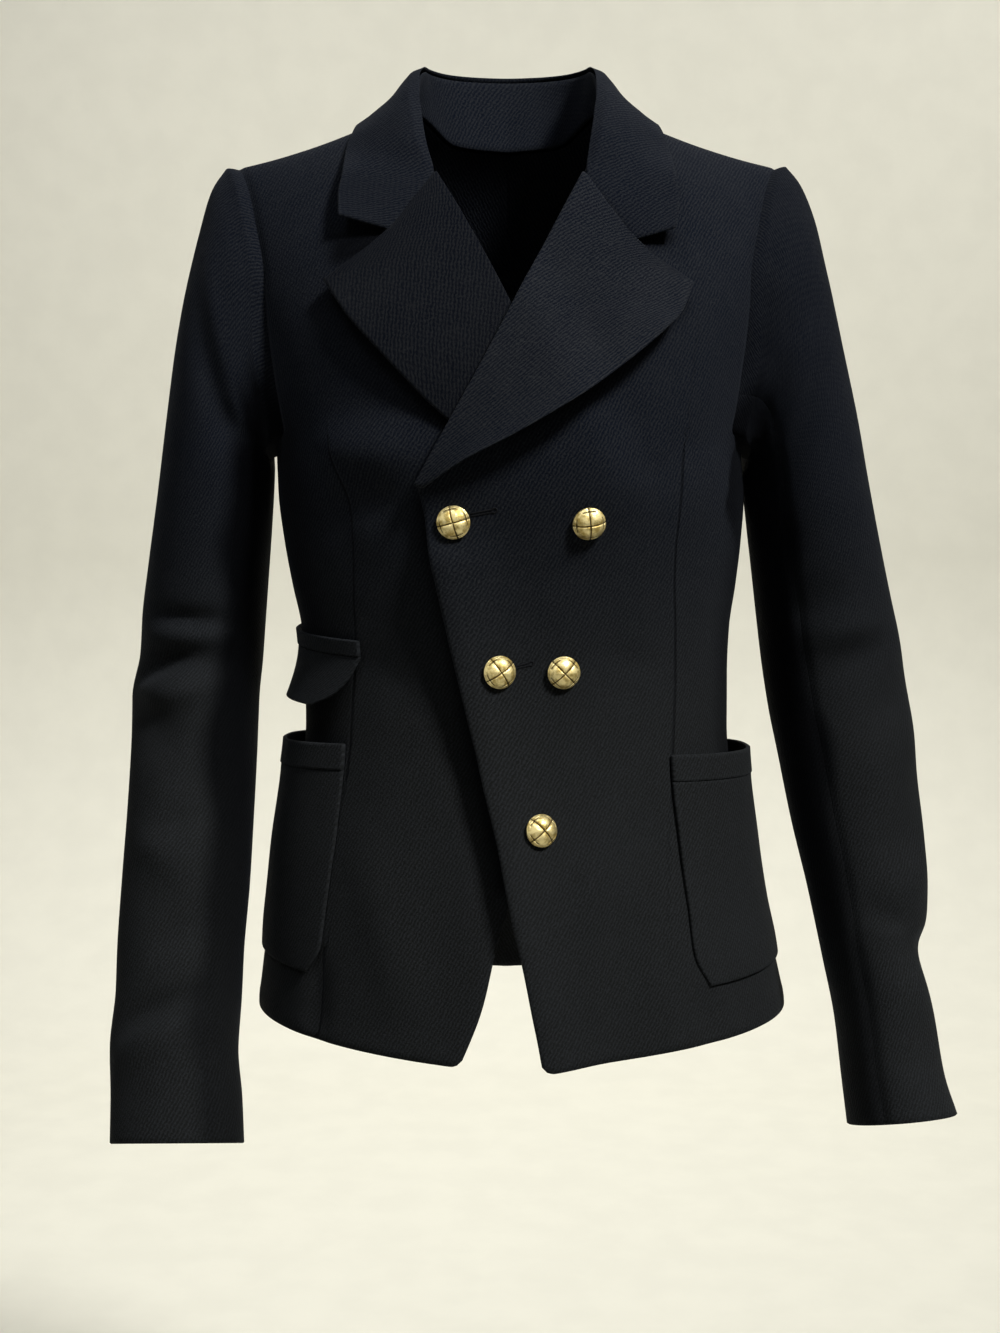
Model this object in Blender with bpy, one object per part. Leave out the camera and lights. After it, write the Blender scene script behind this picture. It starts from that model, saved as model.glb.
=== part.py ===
"""Double-breasted tailored blazer in its worn form, as hollow cloth solids.

Units are metres. +Z is up, the blazer faces -Y, and +X is the wearer's left side. The
origin lies between the shoulders, level with the place where the shoulder seams meet the
neck, where the wearer carries the garment.

The body is a dress form given by sections. A place on it has two coordinates: turn, the
angle round from centre front, and climb, the distance up the form, where 0 is the start
of the shoulder slope. Every piece of cloth is a grid of such places, with an inner and an
outer face at stated distances off the form. The sleeves are tubes of the same kind.
"""

import math

import bmesh
import bpy
import numpy as np

WALL = 0.0020  # cloth with its facing, pressed flat
SEAM = 0.00034  # space between two pieces where they meet
SHARP_ANGLE = 50.0
PALE_CLOTH = (0.012, 0.014, 0.020, 1.0)
OLD_BRASS = (0.30, 0.20, 0.075, 1.0)

# Dress form.
SLOPE_START = -0.170  # height where the chest starts to close in to the shoulders
FORM_COLUMNS = ("height", "half_width", "front", "behind", "shift", "square")
FORM_ROWS = (
    (-0.660, 0.1850, 0.126, 0.125, 0.0105, 2.25),
    (-0.600, 0.1805, 0.123, 0.123, 0.0100, 2.25),
    (-0.566, 0.1752, 0.121, 0.120, 0.0085, 2.25),
    (-0.525, 0.1655, 0.117, 0.115, 0.0060, 2.25),
    (-0.485, 0.1565, 0.112, 0.108, 0.0050, 2.25),
    (-0.437, 0.1460, 0.105, 0.097, 0.0055, 2.25),
    (-0.405, 0.1425, 0.101, 0.089, 0.0062, 2.25),
    (-0.370, 0.1425, 0.099, 0.085, 0.0060, 2.25),
    (-0.340, 0.1440, 0.101, 0.086, 0.0055, 2.25),
    (-0.310, 0.1490, 0.106, 0.090, 0.0045, 2.25),
    (-0.280, 0.1530, 0.112, 0.095, 0.0035, 2.30),
    (-0.250, 0.1553, 0.118, 0.099, 0.0025, 2.35),
    (-0.2215, 0.1545, 0.121, 0.102, 0.0010, 2.40),
    (-0.190, 0.1590, 0.121, 0.104, 0.0005, 2.40),
    (-0.150, 0.1670, 0.118, 0.105, 0.0000, 2.40),
    (-0.100, 0.1775, 0.112, 0.103, 0.0000, 2.40),
    (-0.050, 0.1855, 0.104, 0.099, 0.0000, 2.40),
    (0.000, 0.1900, 0.098, 0.094, 0.0000, 2.40),
)
RIDGE_COLUMNS = ("out", "height")
RIDGE_ROWS = (
    (0.000, 0.0120),
    (0.040, 0.0090),
    (0.068, 0.0022),
    (0.095, -0.0085),
    (0.120, -0.0180),
    (0.134, -0.0226),
    (0.158, -0.0294),
    (0.181, -0.0345),
    (0.205, -0.0400),
)

# Body panels. Each row joins a place on the inner edge (front edge and roll line, or centre
# back) to one on the outer edge (side seam and armhole), seen square from the front or back.
# A None stands for the side seam itself, where the form turns from front to back.
PANEL_COLUMNS = ("left_x", "right_x", "edge_z", "side_x", "side_z", "steps")
FRONT_ROWS = (
    (0.0218, -0.0310, -0.6120, None, -0.5985, 1),
    (0.0151, -0.0168, -0.5750, None, -0.5620, 1),
    (0.0083, -0.0086, -0.5394, None, -0.5250, 1),
    (0.0013, 0.0010, -0.5059, None, -0.4900, 1),
    (-0.0044, 0.0071, -0.4726, None, -0.4550, 1),
    (-0.0140, 0.0154, -0.4270, None, -0.4130, 2),
    (-0.0236, 0.0238, -0.3816, None, -0.3720, 2),
    (-0.0332, 0.0322, -0.3360, None, -0.3310, 2),
    (-0.0428, 0.0406, -0.2906, None, -0.2900, 2),
    (-0.0526, 0.0490, -0.2442, None, -0.2480, 1),
    (-0.0343, 0.0335, -0.2092, None, -0.2225, 1),
    (-0.0159, 0.0180, -0.1742, 0.1450, -0.2075, 1),
    (0.0025, 0.0025, -0.1391, 0.1490, -0.1850, 1),
    (0.0178, -0.0125, -0.1091, 0.1523, -0.1600, 1),
    (0.0331, -0.0290, -0.0791, 0.1550, -0.1320, 1),
    (0.0480, -0.0460, -0.0500, 0.1570, -0.1000, 1),
    (0.0560, -0.0560, -0.0270, 0.1645, -0.0680, 2),
    (0.0680, -0.0680, None, 0.1800, None, 1),
)
BACK_ROWS = (
    (0.0, 0.0, -0.6110, None, -0.5985, 1),
    (0.0, 0.0, -0.5720, None, -0.5620, 1),
    (0.0, 0.0, -0.5350, None, -0.5250, 1),
    (0.0, 0.0, -0.4980, None, -0.4900, 1),
    (0.0, 0.0, -0.4610, None, -0.4550, 1),
    (0.0, 0.0, -0.4170, None, -0.4130, 2),
    (0.0, 0.0, -0.3740, None, -0.3720, 2),
    (0.0, 0.0, -0.3310, None, -0.3310, 2),
    (0.0, 0.0, -0.2870, None, -0.2900, 2),
    (0.0, 0.0, -0.2430, None, -0.2480, 1),
    (0.0, 0.0, -0.2030, None, -0.2225, 1),
    (0.0, 0.0, -0.1660, 0.1520, -0.2040, 1),
    (0.0, 0.0, -0.1290, 0.1590, -0.1800, 1),
    (0.0, 0.0, -0.0920, 0.1620, -0.1500, 1),
    (0.0, 0.0, -0.0530, 0.1640, -0.1150, 1),
    (0.0, 0.0, -0.0150, 0.1675, -0.0820, 1),
    (0.0380, -0.0380, -0.0115, 0.1735, -0.0560, 1),
    (0.0680, -0.0680, None, 0.1800, None, 1),
)
UNDERARM_ROW = 10  # the row where the side seam ends and the armhole starts
PANEL_COLUMNS_ACROSS = 11

# The wearer's left front laps over the right one. Its lift clears what lies beneath, up to
# the hidden edge of the right front, and settles over LAP_EASE.
LAP_EASE = 0.040
LAP_COLUMNS = ("height", "hidden_edge", "lift")
LAP_ROWS = (
    (-0.640, -0.0400, 0.0036),
    (-0.506, 0.0030, 0.0036),
    (-0.300, 0.0400, 0.0036),
    (-0.2442, 0.0590, 0.0066),
    (-0.1391, 0.0085, 0.0072),
    (-0.0490, -0.0400, 0.0072),
)

# Lapels. Each row gives the roll line and the free edge, seen from the front, and how far
# that edge stands proud. The left front crosses the lower part of the right lapel.
LAPEL_COLUMNS = ("roll_x", "roll_z", "edge_x", "edge_z", "proud")
LAPEL_LEFT_ROWS = (
    (-0.0526, -0.2442, -0.0490, -0.2452, 0.0000),
    (-0.0440, -0.2278, -0.0237, -0.2275, 0.0030),
    (-0.0343, -0.2092, 0.0010, -0.2140, 0.0050),
    (-0.0240, -0.1896, 0.0288, -0.1968, 0.0062),
    (-0.0110, -0.1648, 0.0638, -0.1725, 0.0066),
    (0.0025, -0.1391, 0.0912, -0.1495, 0.0060),
    (0.0140, -0.1165, 0.1025, -0.1375, 0.0045),
    (0.0255, -0.0940, 0.1104, -0.1200, 0.0030),
    (0.0360, -0.0734, 0.0975, -0.1110, 0.0022),
    (0.0476, -0.0508, 0.0764, -0.0944, 0.0012),
)
LAPEL_RIGHT_ROWS = (
    (0.0490, -0.2442, 0.0455, -0.2452, 0.0000),
    (0.0415, -0.2272, 0.0220, -0.2300, 0.0000),
    (0.0335, -0.2092, -0.0020, -0.2220, 0.0000),
    (0.0240, -0.1878, -0.0240, -0.2120, 0.0003),
    (0.0133, -0.1636, -0.0440, -0.1955, 0.0015),
    (0.0025, -0.1391, -0.0720, -0.1650, 0.0040),
    (-0.0090, -0.1160, -0.0930, -0.1420, 0.0045),
    (-0.0206, -0.0943, -0.1104, -0.1180, 0.0030),
    (-0.0325, -0.0728, -0.0965, -0.1075, 0.0022),
    (-0.0455, -0.0508, -0.0715, -0.0880, 0.0012),
)
LAPEL_HELD = 0.3  # share of the width, from the fold, in which the cloth lies close
# Section across a lapel, from its start behind the fold to its free edge: the share of the
# width, the distance past the fold, and the heights of its two faces off the panel's form.
ROLL_COLUMNS = ("share", "past", "inner", "outer", "wrap")
ROLL_ROWS = (
    (0.00, 0.0006, 0.0002, 0.0004, 0.0020),
    (0.00, 0.0006, 0.0026, 0.0046, 0.0012),
    (0.03, 0.0, 0.0030, 0.0051, 0.0),
    (0.14, 0.0, 0.0031, 0.0051, 0.0),
    (0.38, 0.0, 0.0030, 0.0050, 0.0),
    (0.64, 0.0, 0.0030, 0.0050, 0.0),
    (0.84, 0.0, 0.0029, 0.0049, 0.0),
    (1.00, 0.0, 0.0028, 0.0048, 0.0),
)

# Collar. Each row joins the fold to the free edge, from the notch to centre back. The edge
# is seen square from the front where behind is 0, and from the back where it is 1. The roll
# is 0 along the seam with the lapel, where the cloth lies flat, and 1 where it turns over.
COLLAR_COLUMNS = ("fold_x", "fold_y", "fold_z", "edge_x", "edge_z", "behind", "roll", "stand")
COLLAR_END_ROWS = {
    1: (
        (0.0770, None, -0.0932, 0.1021, -0.0859, 0, 0, 0.000),
        (0.0625, None, -0.0714, 0.1042, -0.0690, 0, 0, 0.000),
        (0.0490, None, -0.0500, 0.1032, -0.0510, 0, 0, 0.000),
    ),
    -1: (
        (0.0722, None, -0.0869, 0.1034, -0.0778, 0, 0, 0.000),
        (0.0595, None, -0.0680, 0.1038, -0.0640, 0, 0, 0.000),
        (0.0465, None, -0.0500, 0.1018, -0.0495, 0, 0, 0.000),
    ),
}
COLLAR_ROWS = (
    (0.0540, -0.0680, -0.0250, 0.1008, -0.0335, 0, 1, 0.008),
    (0.0570, -0.0545, -0.0060, 0.0980, -0.0210, 0, 1, 0.016),
    (0.0588, -0.0400, 0.0100, 0.0950, None, 0, 1, 0.022),
    (0.0590, -0.0230, 0.0225, 0.0925, -0.0140, 1, 1, 0.027),
    (0.0575, -0.0050, 0.0310, 0.0892, -0.0195, 1, 1, 0.030),
    (0.0552, 0.0270, 0.0375, 0.0840, -0.0250, 1, 1, 0.034),
    (0.0420, 0.0540, 0.0390, 0.0590, -0.0250, 1, 1, 0.036),
    (0.0210, 0.0660, 0.0395, 0.0300, -0.0240, 1, 1, 0.037),
    (0.0000, 0.0690, 0.0395, 0.0000, -0.0235, 1, 1, 0.037),
)
NECK_MIDDLE_Y = 0.010
FRONT_NECK_ROWS, BACK_NECK_ROWS = 5, 3  # rows of the body's tables that end at the neck
COLLAR_SEAM_LIFT = 0.0030
COLLAR_EDGE_LIFT = 0.0048
LEAF_BULGE = 0.2  # share of the fold's bulge that the flat ends keep
TURNED_BY = 0.07  # share of the fall in which the cloth turns over the fold
FALL_COLUMNS = ("share", "bulge")
FALL_ROWS = (
    (0.00, 0.0000),
    (0.07, 0.0028),
    (0.25, 0.0040),
    (0.55, 0.0030),
    (0.80, 0.0014),
    (1.00, 0.0004),
)

# Sleeves. Each row is a section: the outermost and innermost points seen from the front,
# where its middle lies front to back, its half depth, and how far the section leans back.
SLEEVE_COLUMNS = ("outer_x", "outer_z", "inner_x", "inner_z", "middle_y", "half_depth", "lean")
SLEEVE_RIGHT_ROWS = (
    (0.1866, -0.0338, 0.1590, -0.2255, 0.0000, 0.0620, 0),
    (0.1968, -0.0475, 0.1592, -0.2270, 0.0000, 0.0635, 0),
    (0.2068, -0.0765, 0.1592, -0.2290, 0.0000, 0.0640, 0),
    (0.2150, -0.1080, 0.1592, -0.2320, 0.0000, 0.0635, 0),
    (0.2232, -0.1499, 0.1594, -0.2370, 0.0005, 0.0620, 0),
    (0.2310, -0.2002, 0.1600, -0.2480, 0.0020, 0.0600, 0),
    (0.2385, -0.2500, 0.1622, -0.2751, 0.0050, 0.0580, 0),
    (0.2459, -0.2951, 0.1644, -0.2990, 0.0080, 0.0560, 0),
    (0.2514, -0.3325, 0.1673, -0.3325, 0.0095, 0.0535, 2),
    (0.2532, -0.3595, 0.1697, -0.3630, 0.0085, 0.0515, 5),
    (0.2587, -0.3900, 0.1720, -0.3900, 0.0040, 0.0495, 9),
    (0.2580, -0.4220, 0.1727, -0.4270, -0.0060, 0.0480, 14),
    (0.2588, -0.4642, 0.1738, -0.4710, -0.0200, 0.0455, 18),
    (0.2602, -0.5050, 0.1748, -0.5100, -0.0340, 0.0435, 20),
    (0.2614, -0.5514, 0.1773, -0.5545, -0.0500, 0.0410, 20),
    (0.2611, -0.5801, 0.1778, -0.5840, -0.0600, 0.0395, 20),
    (0.2633, -0.6123, 0.1789, -0.6140, -0.0710, 0.0380, 20),
    (0.2615, -0.6440, 0.1752, -0.6450, -0.0820, 0.0365, 20),
    (0.2607, -0.6734, 0.1731, -0.6728, -0.0910, 0.0355, 20),
)
SLEEVE_LEFT_ROWS = (
    (0.1848, -0.0325, 0.1600, -0.2255, 0.0000, 0.0620, 0),
    (0.1948, -0.0435, 0.1605, -0.2270, 0.0000, 0.0635, 0),
    (0.2060, -0.0675, 0.1608, -0.2290, 0.0000, 0.0640, 0),
    (0.2145, -0.1010, 0.1612, -0.2320, 0.0000, 0.0635, 0),
    (0.2250, -0.1470, 0.1618, -0.2380, 0.0005, 0.0620, 0),
    (0.2373, -0.1989, 0.1625, -0.2500, 0.0020, 0.0600, 0),
    (0.2448, -0.2354, 0.1645, -0.2700, 0.0040, 0.0585, 0),
    (0.2543, -0.2779, 0.1682, -0.2980, 0.0075, 0.0560, 0),
    (0.2640, -0.3200, 0.1730, -0.3360, 0.0095, 0.0535, 2),
    (0.2706, -0.3492, 0.1765, -0.3640, 0.0085, 0.0515, 5),
    (0.2765, -0.3860, 0.1812, -0.3960, 0.0040, 0.0495, 9),
    (0.2800, -0.4200, 0.1868, -0.4270, -0.0060, 0.0480, 14),
    (0.2825, -0.4640, 0.1945, -0.4700, -0.0200, 0.0460, 18),
    (0.2831, -0.5080, 0.2031, -0.5100, -0.0350, 0.0445, 20),
    (0.2815, -0.5400, 0.2092, -0.5420, -0.0460, 0.0435, 20),
    (0.2788, -0.5590, 0.2125, -0.5600, -0.0520, 0.0430, 20),
    (0.2830, -0.5930, 0.2185, -0.5950, -0.0640, 0.0425, 18),
    (0.2874, -0.6300, 0.2216, -0.6330, -0.0770, 0.0420, 17),
    (0.2945, -0.6545, 0.2242, -0.6620, -0.0860, 0.0420, 16),
)
SLEEVE_RADIUS = 0.045  # about its mean, which turns the seam's width into an angle
FRONT_SEAM_ANGLE = 122.0  # round the sleeve from its outer line, by way of the front
BACK_SEAM_ANGLE = 250.0
BACK_COLUMNS_ROUND = 7  # columns of the top sleeve behind its outer line, and in front of it
FRONT_COLUMNS_ROUND = 8
UNDER_COLUMNS_ROUND = 8
CREASED_ROWS = (7, 12)  # sections between these table rows are set twice as close
HEAD_ROWS = 4  # the sections before this row keep some of the armhole's shape
CAP_GAP = 0.0010
CAP_ROLL = 0.0009  # how far the head of the sleeve rises past the shoulder seam
CAP_LIFT = WALL + 0.0013  # the lower half of the sleeve is set on the outside of the body
CAP_LIFT_FROM, CAP_LIFT_TO = 80.0, 112.0
CAP_TURN_FROM, CAP_TURN_TO = 112.0, 145.0

# Soft troughs pressed into the sleeves, measured on the sleeve: how far along it in rows,
# the angle round, the half length in degrees, the half height in rows, the rise in rows
# over the half length, and the depth. A negative depth is a ridge.
CREASE_COLUMNS = ("row", "angle", "half_angle", "half_rows", "rise", "depth")
CREASES_RIGHT = (
    (9.0, 95.0, 75.0, 0.55, -0.10, 0.0050),
    (9.9, 80.0, 60.0, 0.55, 0.30, -0.0035),
    (10.6, 60.0, 55.0, 0.50, 0.35, 0.0040),
    (16.6, 60.0, 60.0, 0.60, 0.60, 0.0032),
    (9.2, 270.0, 60.0, 0.60, 0.20, 0.0025),
)
CREASES_LEFT = (
    (9.4, 85.0, 60.0, 0.60, 0.20, 0.0035),
    (10.6, 60.0, 55.0, 0.60, 0.40, 0.0030),
    (15.0, 20.0, 60.0, 0.70, 0.30, 0.0035),
    (9.3, 275.0, 55.0, 0.60, 0.20, 0.0025),
)

# Patch pockets, with a band along the mouth. Each row gives the front edge seen from the
# front, the back edge as degrees round the form with its height, and the fullness there.
POCKET_COLUMNS = ("front_x", "front_z", "back_turn", "back_z", "full")
POCKET_ROWS = (
    (0.1290, -0.5660, 112.0, -0.5600, 0.00),
    (0.1190, -0.5460, 116.0, -0.5470, 0.16),
    (0.1150, -0.5160, 117.0, -0.5190, 0.36),
    (0.1105, -0.4850, 117.0, -0.4900, 0.60),
    (0.1070, -0.4560, 117.0, -0.4620, 0.82),
    (0.1045, -0.4345, 117.0, -0.4408, 0.95),
)
BAND_ROWS = (
    (0.1045, -0.4342, 117.0, -0.4405, 0.95),
    (0.1035, -0.4180, 117.0, -0.4240, 1.00),
)
POCKET_FULLNESS = 0.0115
RIGHT_POCKET_RISE = 0.006
POCKET_SHAPE_COLUMNS = ("across", "bulge")
POCKET_SHAPE_ROWS = (
    (0.00, 0.00),
    (0.10, 0.26),
    (0.24, 0.60),
    (0.40, 0.90),
    (0.56, 1.00),
    (0.70, 0.88),
    (0.84, 0.50),
    (0.94, 0.18),
    (1.00, 0.00),
)
POCKET_SEAT = WALL + 0.0009
BAND_WALL = 0.0028

# Ticket pocket above the wearer's right pocket: a welt, and a flap that stands off below.
TICKET_FRONT_TURN, TICKET_BACK_TURN = 41.0, 98.0
WELT_ROWS = ((-0.3535, -0.3490), (-0.3440, -0.3395))
FLAP_COLUMNS = ("front_share", "front_z", "back_z", "kick")
FLAP_ROWS = (
    (0.00, -0.3542, -0.3496, 0.0000),
    (0.02, -0.3600, -0.3570, 0.0012),
    (0.06, -0.3690, -0.3670, 0.0036),
    (0.14, -0.3790, -0.3770, 0.0068),
    (0.30, -0.3870, -0.3850, 0.0098),
)
TICKET_COLUMNS_ACROSS = 10
TICKET_SEAT = WALL + 0.0013

# Buttons: place seen from the front, and the turn of the crossed strands in degrees.
BUTTON_COLUMNS = ("x", "z", "spin")
BUTTON_ROWS = (
    (-0.0317, -0.2665, 10.0),
    (0.0479, -0.2668, 0.0),
    (-0.0050, -0.3608, 35.0),
    (0.0339, -0.3616, 45.0),
    (0.0193, -0.4607, 45.0),
)
BUTTON_RADIUS = 0.0110
BUTTON_SEAT = 0.0006
BUTTON_SECTORS = 24
BUTTON_PROFILE_COLUMNS = ("share", "height", "relief")
BUTTON_PROFILE_ROWS = (
    (0.00, 0.0071, 1.0),
    (0.24, 0.0069, 1.0),
    (0.50, 0.0062, 1.0),
    (0.74, 0.0050, 0.8),
    (0.92, 0.0034, 0.3),
    (1.00, 0.0020, 0.0),
)
BUTTON_FOOT = 0.0010
FOOT_SHARE = 0.82  # radius of the flat back against the button's own
GROOVE_DEPTH, GROOVE_HALF = 0.0010, 0.0013


def table(names: tuple, rows: tuple) -> dict:
    """The rows as one array for each named column. None becomes NaN."""
    return {
        name: np.array([math.nan if row[k] is None else row[k] for row in rows], float)
        for k, name in enumerate(names)
    }


def slopes(xs: np.ndarray, ys: np.ndarray) -> np.ndarray:
    """Slopes of a smooth line through the points that doesn't overshoot."""
    steps = np.diff(xs)
    rates = np.diff(ys) / steps
    inner = np.zeros(len(xs) - 2)
    same = rates[1:] * rates[:-1] > 0
    inner[same] = 2 / (1 / rates[1:][same] + 1 / rates[:-1][same])
    return np.concatenate([[rates[0]], inner, [rates[-1]]])


def smooth(xs: np.ndarray, ys: np.ndarray, at: np.ndarray) -> np.ndarray:
    """Value at each place of the smooth line through the points, flat past its ends."""
    at = np.clip(np.asarray(at, float), xs[0], xs[-1])
    k = np.clip(np.searchsorted(xs, at, side="right") - 1, 0, len(xs) - 2)
    width = xs[k + 1] - xs[k]
    u = (at - xs[k]) / width
    tilt = slopes(xs, ys)
    return (
        (2 * u**3 - 3 * u**2 + 1) * ys[k]
        + (u**3 - 2 * u**2 + u) * width * tilt[k]
        + (3 * u**2 - 2 * u**3) * ys[k + 1]
        + (u**3 - u**2) * width * tilt[k + 1]
    )


def ease(share: np.ndarray) -> np.ndarray:
    """Smooth step from 0 to 1."""
    share = np.clip(share, 0.0, 1.0)
    return share * share * (3 - 2 * share)


FORM = table(FORM_COLUMNS, FORM_ROWS)
RIDGE = table(RIDGE_COLUMNS, RIDGE_ROWS)
LAP = table(LAP_COLUMNS, LAP_ROWS)


def form_size(name: str, height: np.ndarray) -> np.ndarray:
    """One measure of the dress form at a nominal height."""
    return smooth(FORM["height"], FORM[name], height)


def ridge_height(x: np.ndarray) -> np.ndarray:
    """Height of the shoulder line this far from the middle."""
    return smooth(RIDGE["out"], RIDGE["height"], np.abs(x))


def form_point(turn: np.ndarray, climb: np.ndarray, off: np.ndarray) -> np.ndarray:
    """Places at a distance off the dress form, as an array of points."""
    turn, climb, off = np.broadcast_arrays(turn, climb, off)
    bend = np.clip(climb / -SLOPE_START, 0.0, math.pi / 2)
    share = np.sin(bend)
    height = np.where(climb < 0, SLOPE_START + climb, SLOPE_START * (1 - share))
    power = 2 / form_size("square", height)
    width = form_size("half_width", height) + off
    depth = np.where(np.cos(turn) > 0, form_size("front", height), form_size("behind", height))
    sine, cosine = np.sin(turn), np.cos(turn)
    x = form_size("shift", height) + width * np.sign(sine) * np.abs(sine) ** power
    y = -(depth + off) * np.sign(cosine) * np.abs(cosine) ** power * np.cos(bend)
    lifted = SLOPE_START + (ridge_height(x) + off - SLOPE_START) * share
    z = np.where(climb < 0, height, lifted)
    return np.stack([x, y, z], axis=-1)


def form_place(x: float, z: float, side: int, behind: bool = False) -> tuple:
    """Turn and climb of the place seen at x, z square from the front or from the back.

    A missing x is the side seam, and a missing z is the shoulder line.
    """
    if math.isnan(x):
        return side * math.pi / 2, z - SLOPE_START
    if math.isnan(z):
        share = 1.0
    else:
        share = (z - SLOPE_START) / (float(ridge_height(x)) - SLOPE_START)
    height = z if share <= 0 else SLOPE_START * (1 - share)
    across = (x - float(form_size("shift", height))) / float(form_size("half_width", height))
    power = float(form_size("square", height)) / 2
    turn = math.copysign(math.asin(min(abs(across), 1.0) ** power), across)
    climb = z - SLOPE_START if share <= 0 else -SLOPE_START * math.asin(min(share, 1.0))
    return (side * math.pi - turn if behind else turn), climb


def places(xs: list, zs: list, side: int, behind: bool = False) -> np.ndarray:
    """Turn and climb of each place, a row each."""
    return np.array([form_place(float(x), float(z), side, behind) for x, z in zip(xs, zs)])


def lap_lift(x: np.ndarray, z: np.ndarray) -> np.ndarray:
    """How far the overlapping front stands off for what lies beneath it."""
    hidden = np.interp(z, LAP["height"], LAP["hidden_edge"])
    lift = np.interp(z, LAP["height"], LAP["lift"])
    return lift * ease((hidden + LAP_EASE - x) / LAP_EASE)


def finish(name: str, colour: tuple, metal: float, rough: float) -> bpy.types.Material:
    """A plain material of its own for one part."""
    made = bpy.data.materials.new(name)
    made.use_nodes = True
    shader = made.node_tree.nodes["Principled BSDF"]
    shader.inputs["Base Color"].default_value = colour
    shader.inputs["Metallic"].default_value = metal
    shader.inputs["Roughness"].default_value = rough
    return made


def add_part(name: str, points: np.ndarray, faces: list, brass: bool = False) -> None:
    """Makes one closed, smooth-shaded object, with its faces turned outwards."""
    mesh = bpy.data.meshes.new(name)
    mesh.from_pydata(points.tolist(), [], faces)
    work = bmesh.new()
    work.from_mesh(mesh)
    bmesh.ops.recalc_face_normals(work, faces=work.faces)
    if work.calc_volume(signed=True) < 0:
        bmesh.ops.reverse_faces(work, faces=work.faces)
    for face in work.faces:
        face.smooth = True
    work.to_mesh(mesh)
    work.free()
    mesh.set_sharp_from_angle(angle=math.radians(SHARP_ANGLE))
    made = bpy.data.objects.new(name, mesh)
    look = finish(name, OLD_BRASS, 0.9, 0.4) if brass else finish(name, PALE_CLOTH, 0.0, 0.85)
    mesh.materials.append(look)
    bpy.data.collections["blazer"].objects.link(made)


def shell(name: str, inner: np.ndarray, outer: np.ndarray) -> None:
    """Cloth between two grids of points, closed round its rim."""
    rows, columns = inner.shape[:2]
    count = rows * columns
    index = np.arange(count).reshape(rows, columns)
    faces = []
    for j in range(rows - 1):
        for i in range(columns - 1):
            a, b, c, d = index[j, i], index[j, i + 1], index[j + 1, i + 1], index[j + 1, i]
            faces.append([int(d), int(c), int(b), int(a)])
            faces.append([int(k) + count for k in (a, b, c, d)])
    rim = list(index[0]) + list(index[1:, -1]) + list(index[-1, -2::-1]) + list(index[-2:0:-1, 0])
    for k, here in enumerate(rim):
        after = rim[(k + 1) % len(rim)]
        faces.append([int(here), int(after), int(after) + count, int(here) + count])
    points = np.concatenate([inner.reshape(-1, 3), outer.reshape(-1, 3)])
    add_part(name, points, faces)


def between(first: np.ndarray, last: np.ndarray, shares: np.ndarray) -> np.ndarray:
    """Rows of places from first to last, one column for each share."""
    return first[:, None, :] * (1 - shares)[None, :, None] + last[:, None, :] * shares[None, :, None]


def refine(values: np.ndarray, steps: np.ndarray) -> np.ndarray:
    """Adds evenly spaced rows where steps, the number of parts up to the next row, is over 1."""
    made = []
    for k in range(len(values) - 1):
        parts = int(steps[k])
        made.extend(values[k] + (values[k + 1] - values[k]) * m / parts for m in range(parts))
    made.append(values[-1])
    return np.array(made)


def panel_places(rows: tuple, side: int, behind: bool) -> tuple:
    """Edge and side places of a body panel on the wearer's left (1) or right (-1)."""
    data = table(PANEL_COLUMNS, rows)
    edge = places(data["left_x" if side > 0 else "right_x"], data["edge_z"], side, behind)
    outer = places(data["side_x"] * side, data["side_z"], side, behind)
    return refine(edge, data["steps"]), refine(outer, data["steps"])


def front_panels() -> None:
    """The two fronts. The wearer's left one laps over the right."""
    shares = np.linspace(0.0, 1.0, PANEL_COLUMNS_ACROSS)
    for name, side in (("front_left", 1), ("front_right", -1)):
        grid = between(*panel_places(FRONT_ROWS, side, False), shares)
        base = form_point(grid[..., 0], grid[..., 1], 0.0)
        lift = lap_lift(base[..., 0], base[..., 2]) if side > 0 else np.zeros(base.shape[:2])
        shift = np.array([0.0, -SEAM / 2, 0.0])
        faces = [form_point(grid[..., 0], grid[..., 1], lift + k) + shift for k in (0.0, WALL)]
        shell(name, faces[0], faces[1])


def back_panels() -> None:
    """The two halves of the back, joined by a centre seam."""
    shares = np.linspace(0.0, 1.0, PANEL_COLUMNS_ACROSS)
    for name, side in (("back_left", 1), ("back_right", -1)):
        grid = between(*panel_places(BACK_ROWS, side, True), shares)
        shift = np.array([side * SEAM / 2, SEAM / 2, 0.0])
        faces = [form_point(grid[..., 0], grid[..., 1], k) + shift for k in (0.0, WALL)]
        shell(name, faces[0], faces[1])


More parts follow.
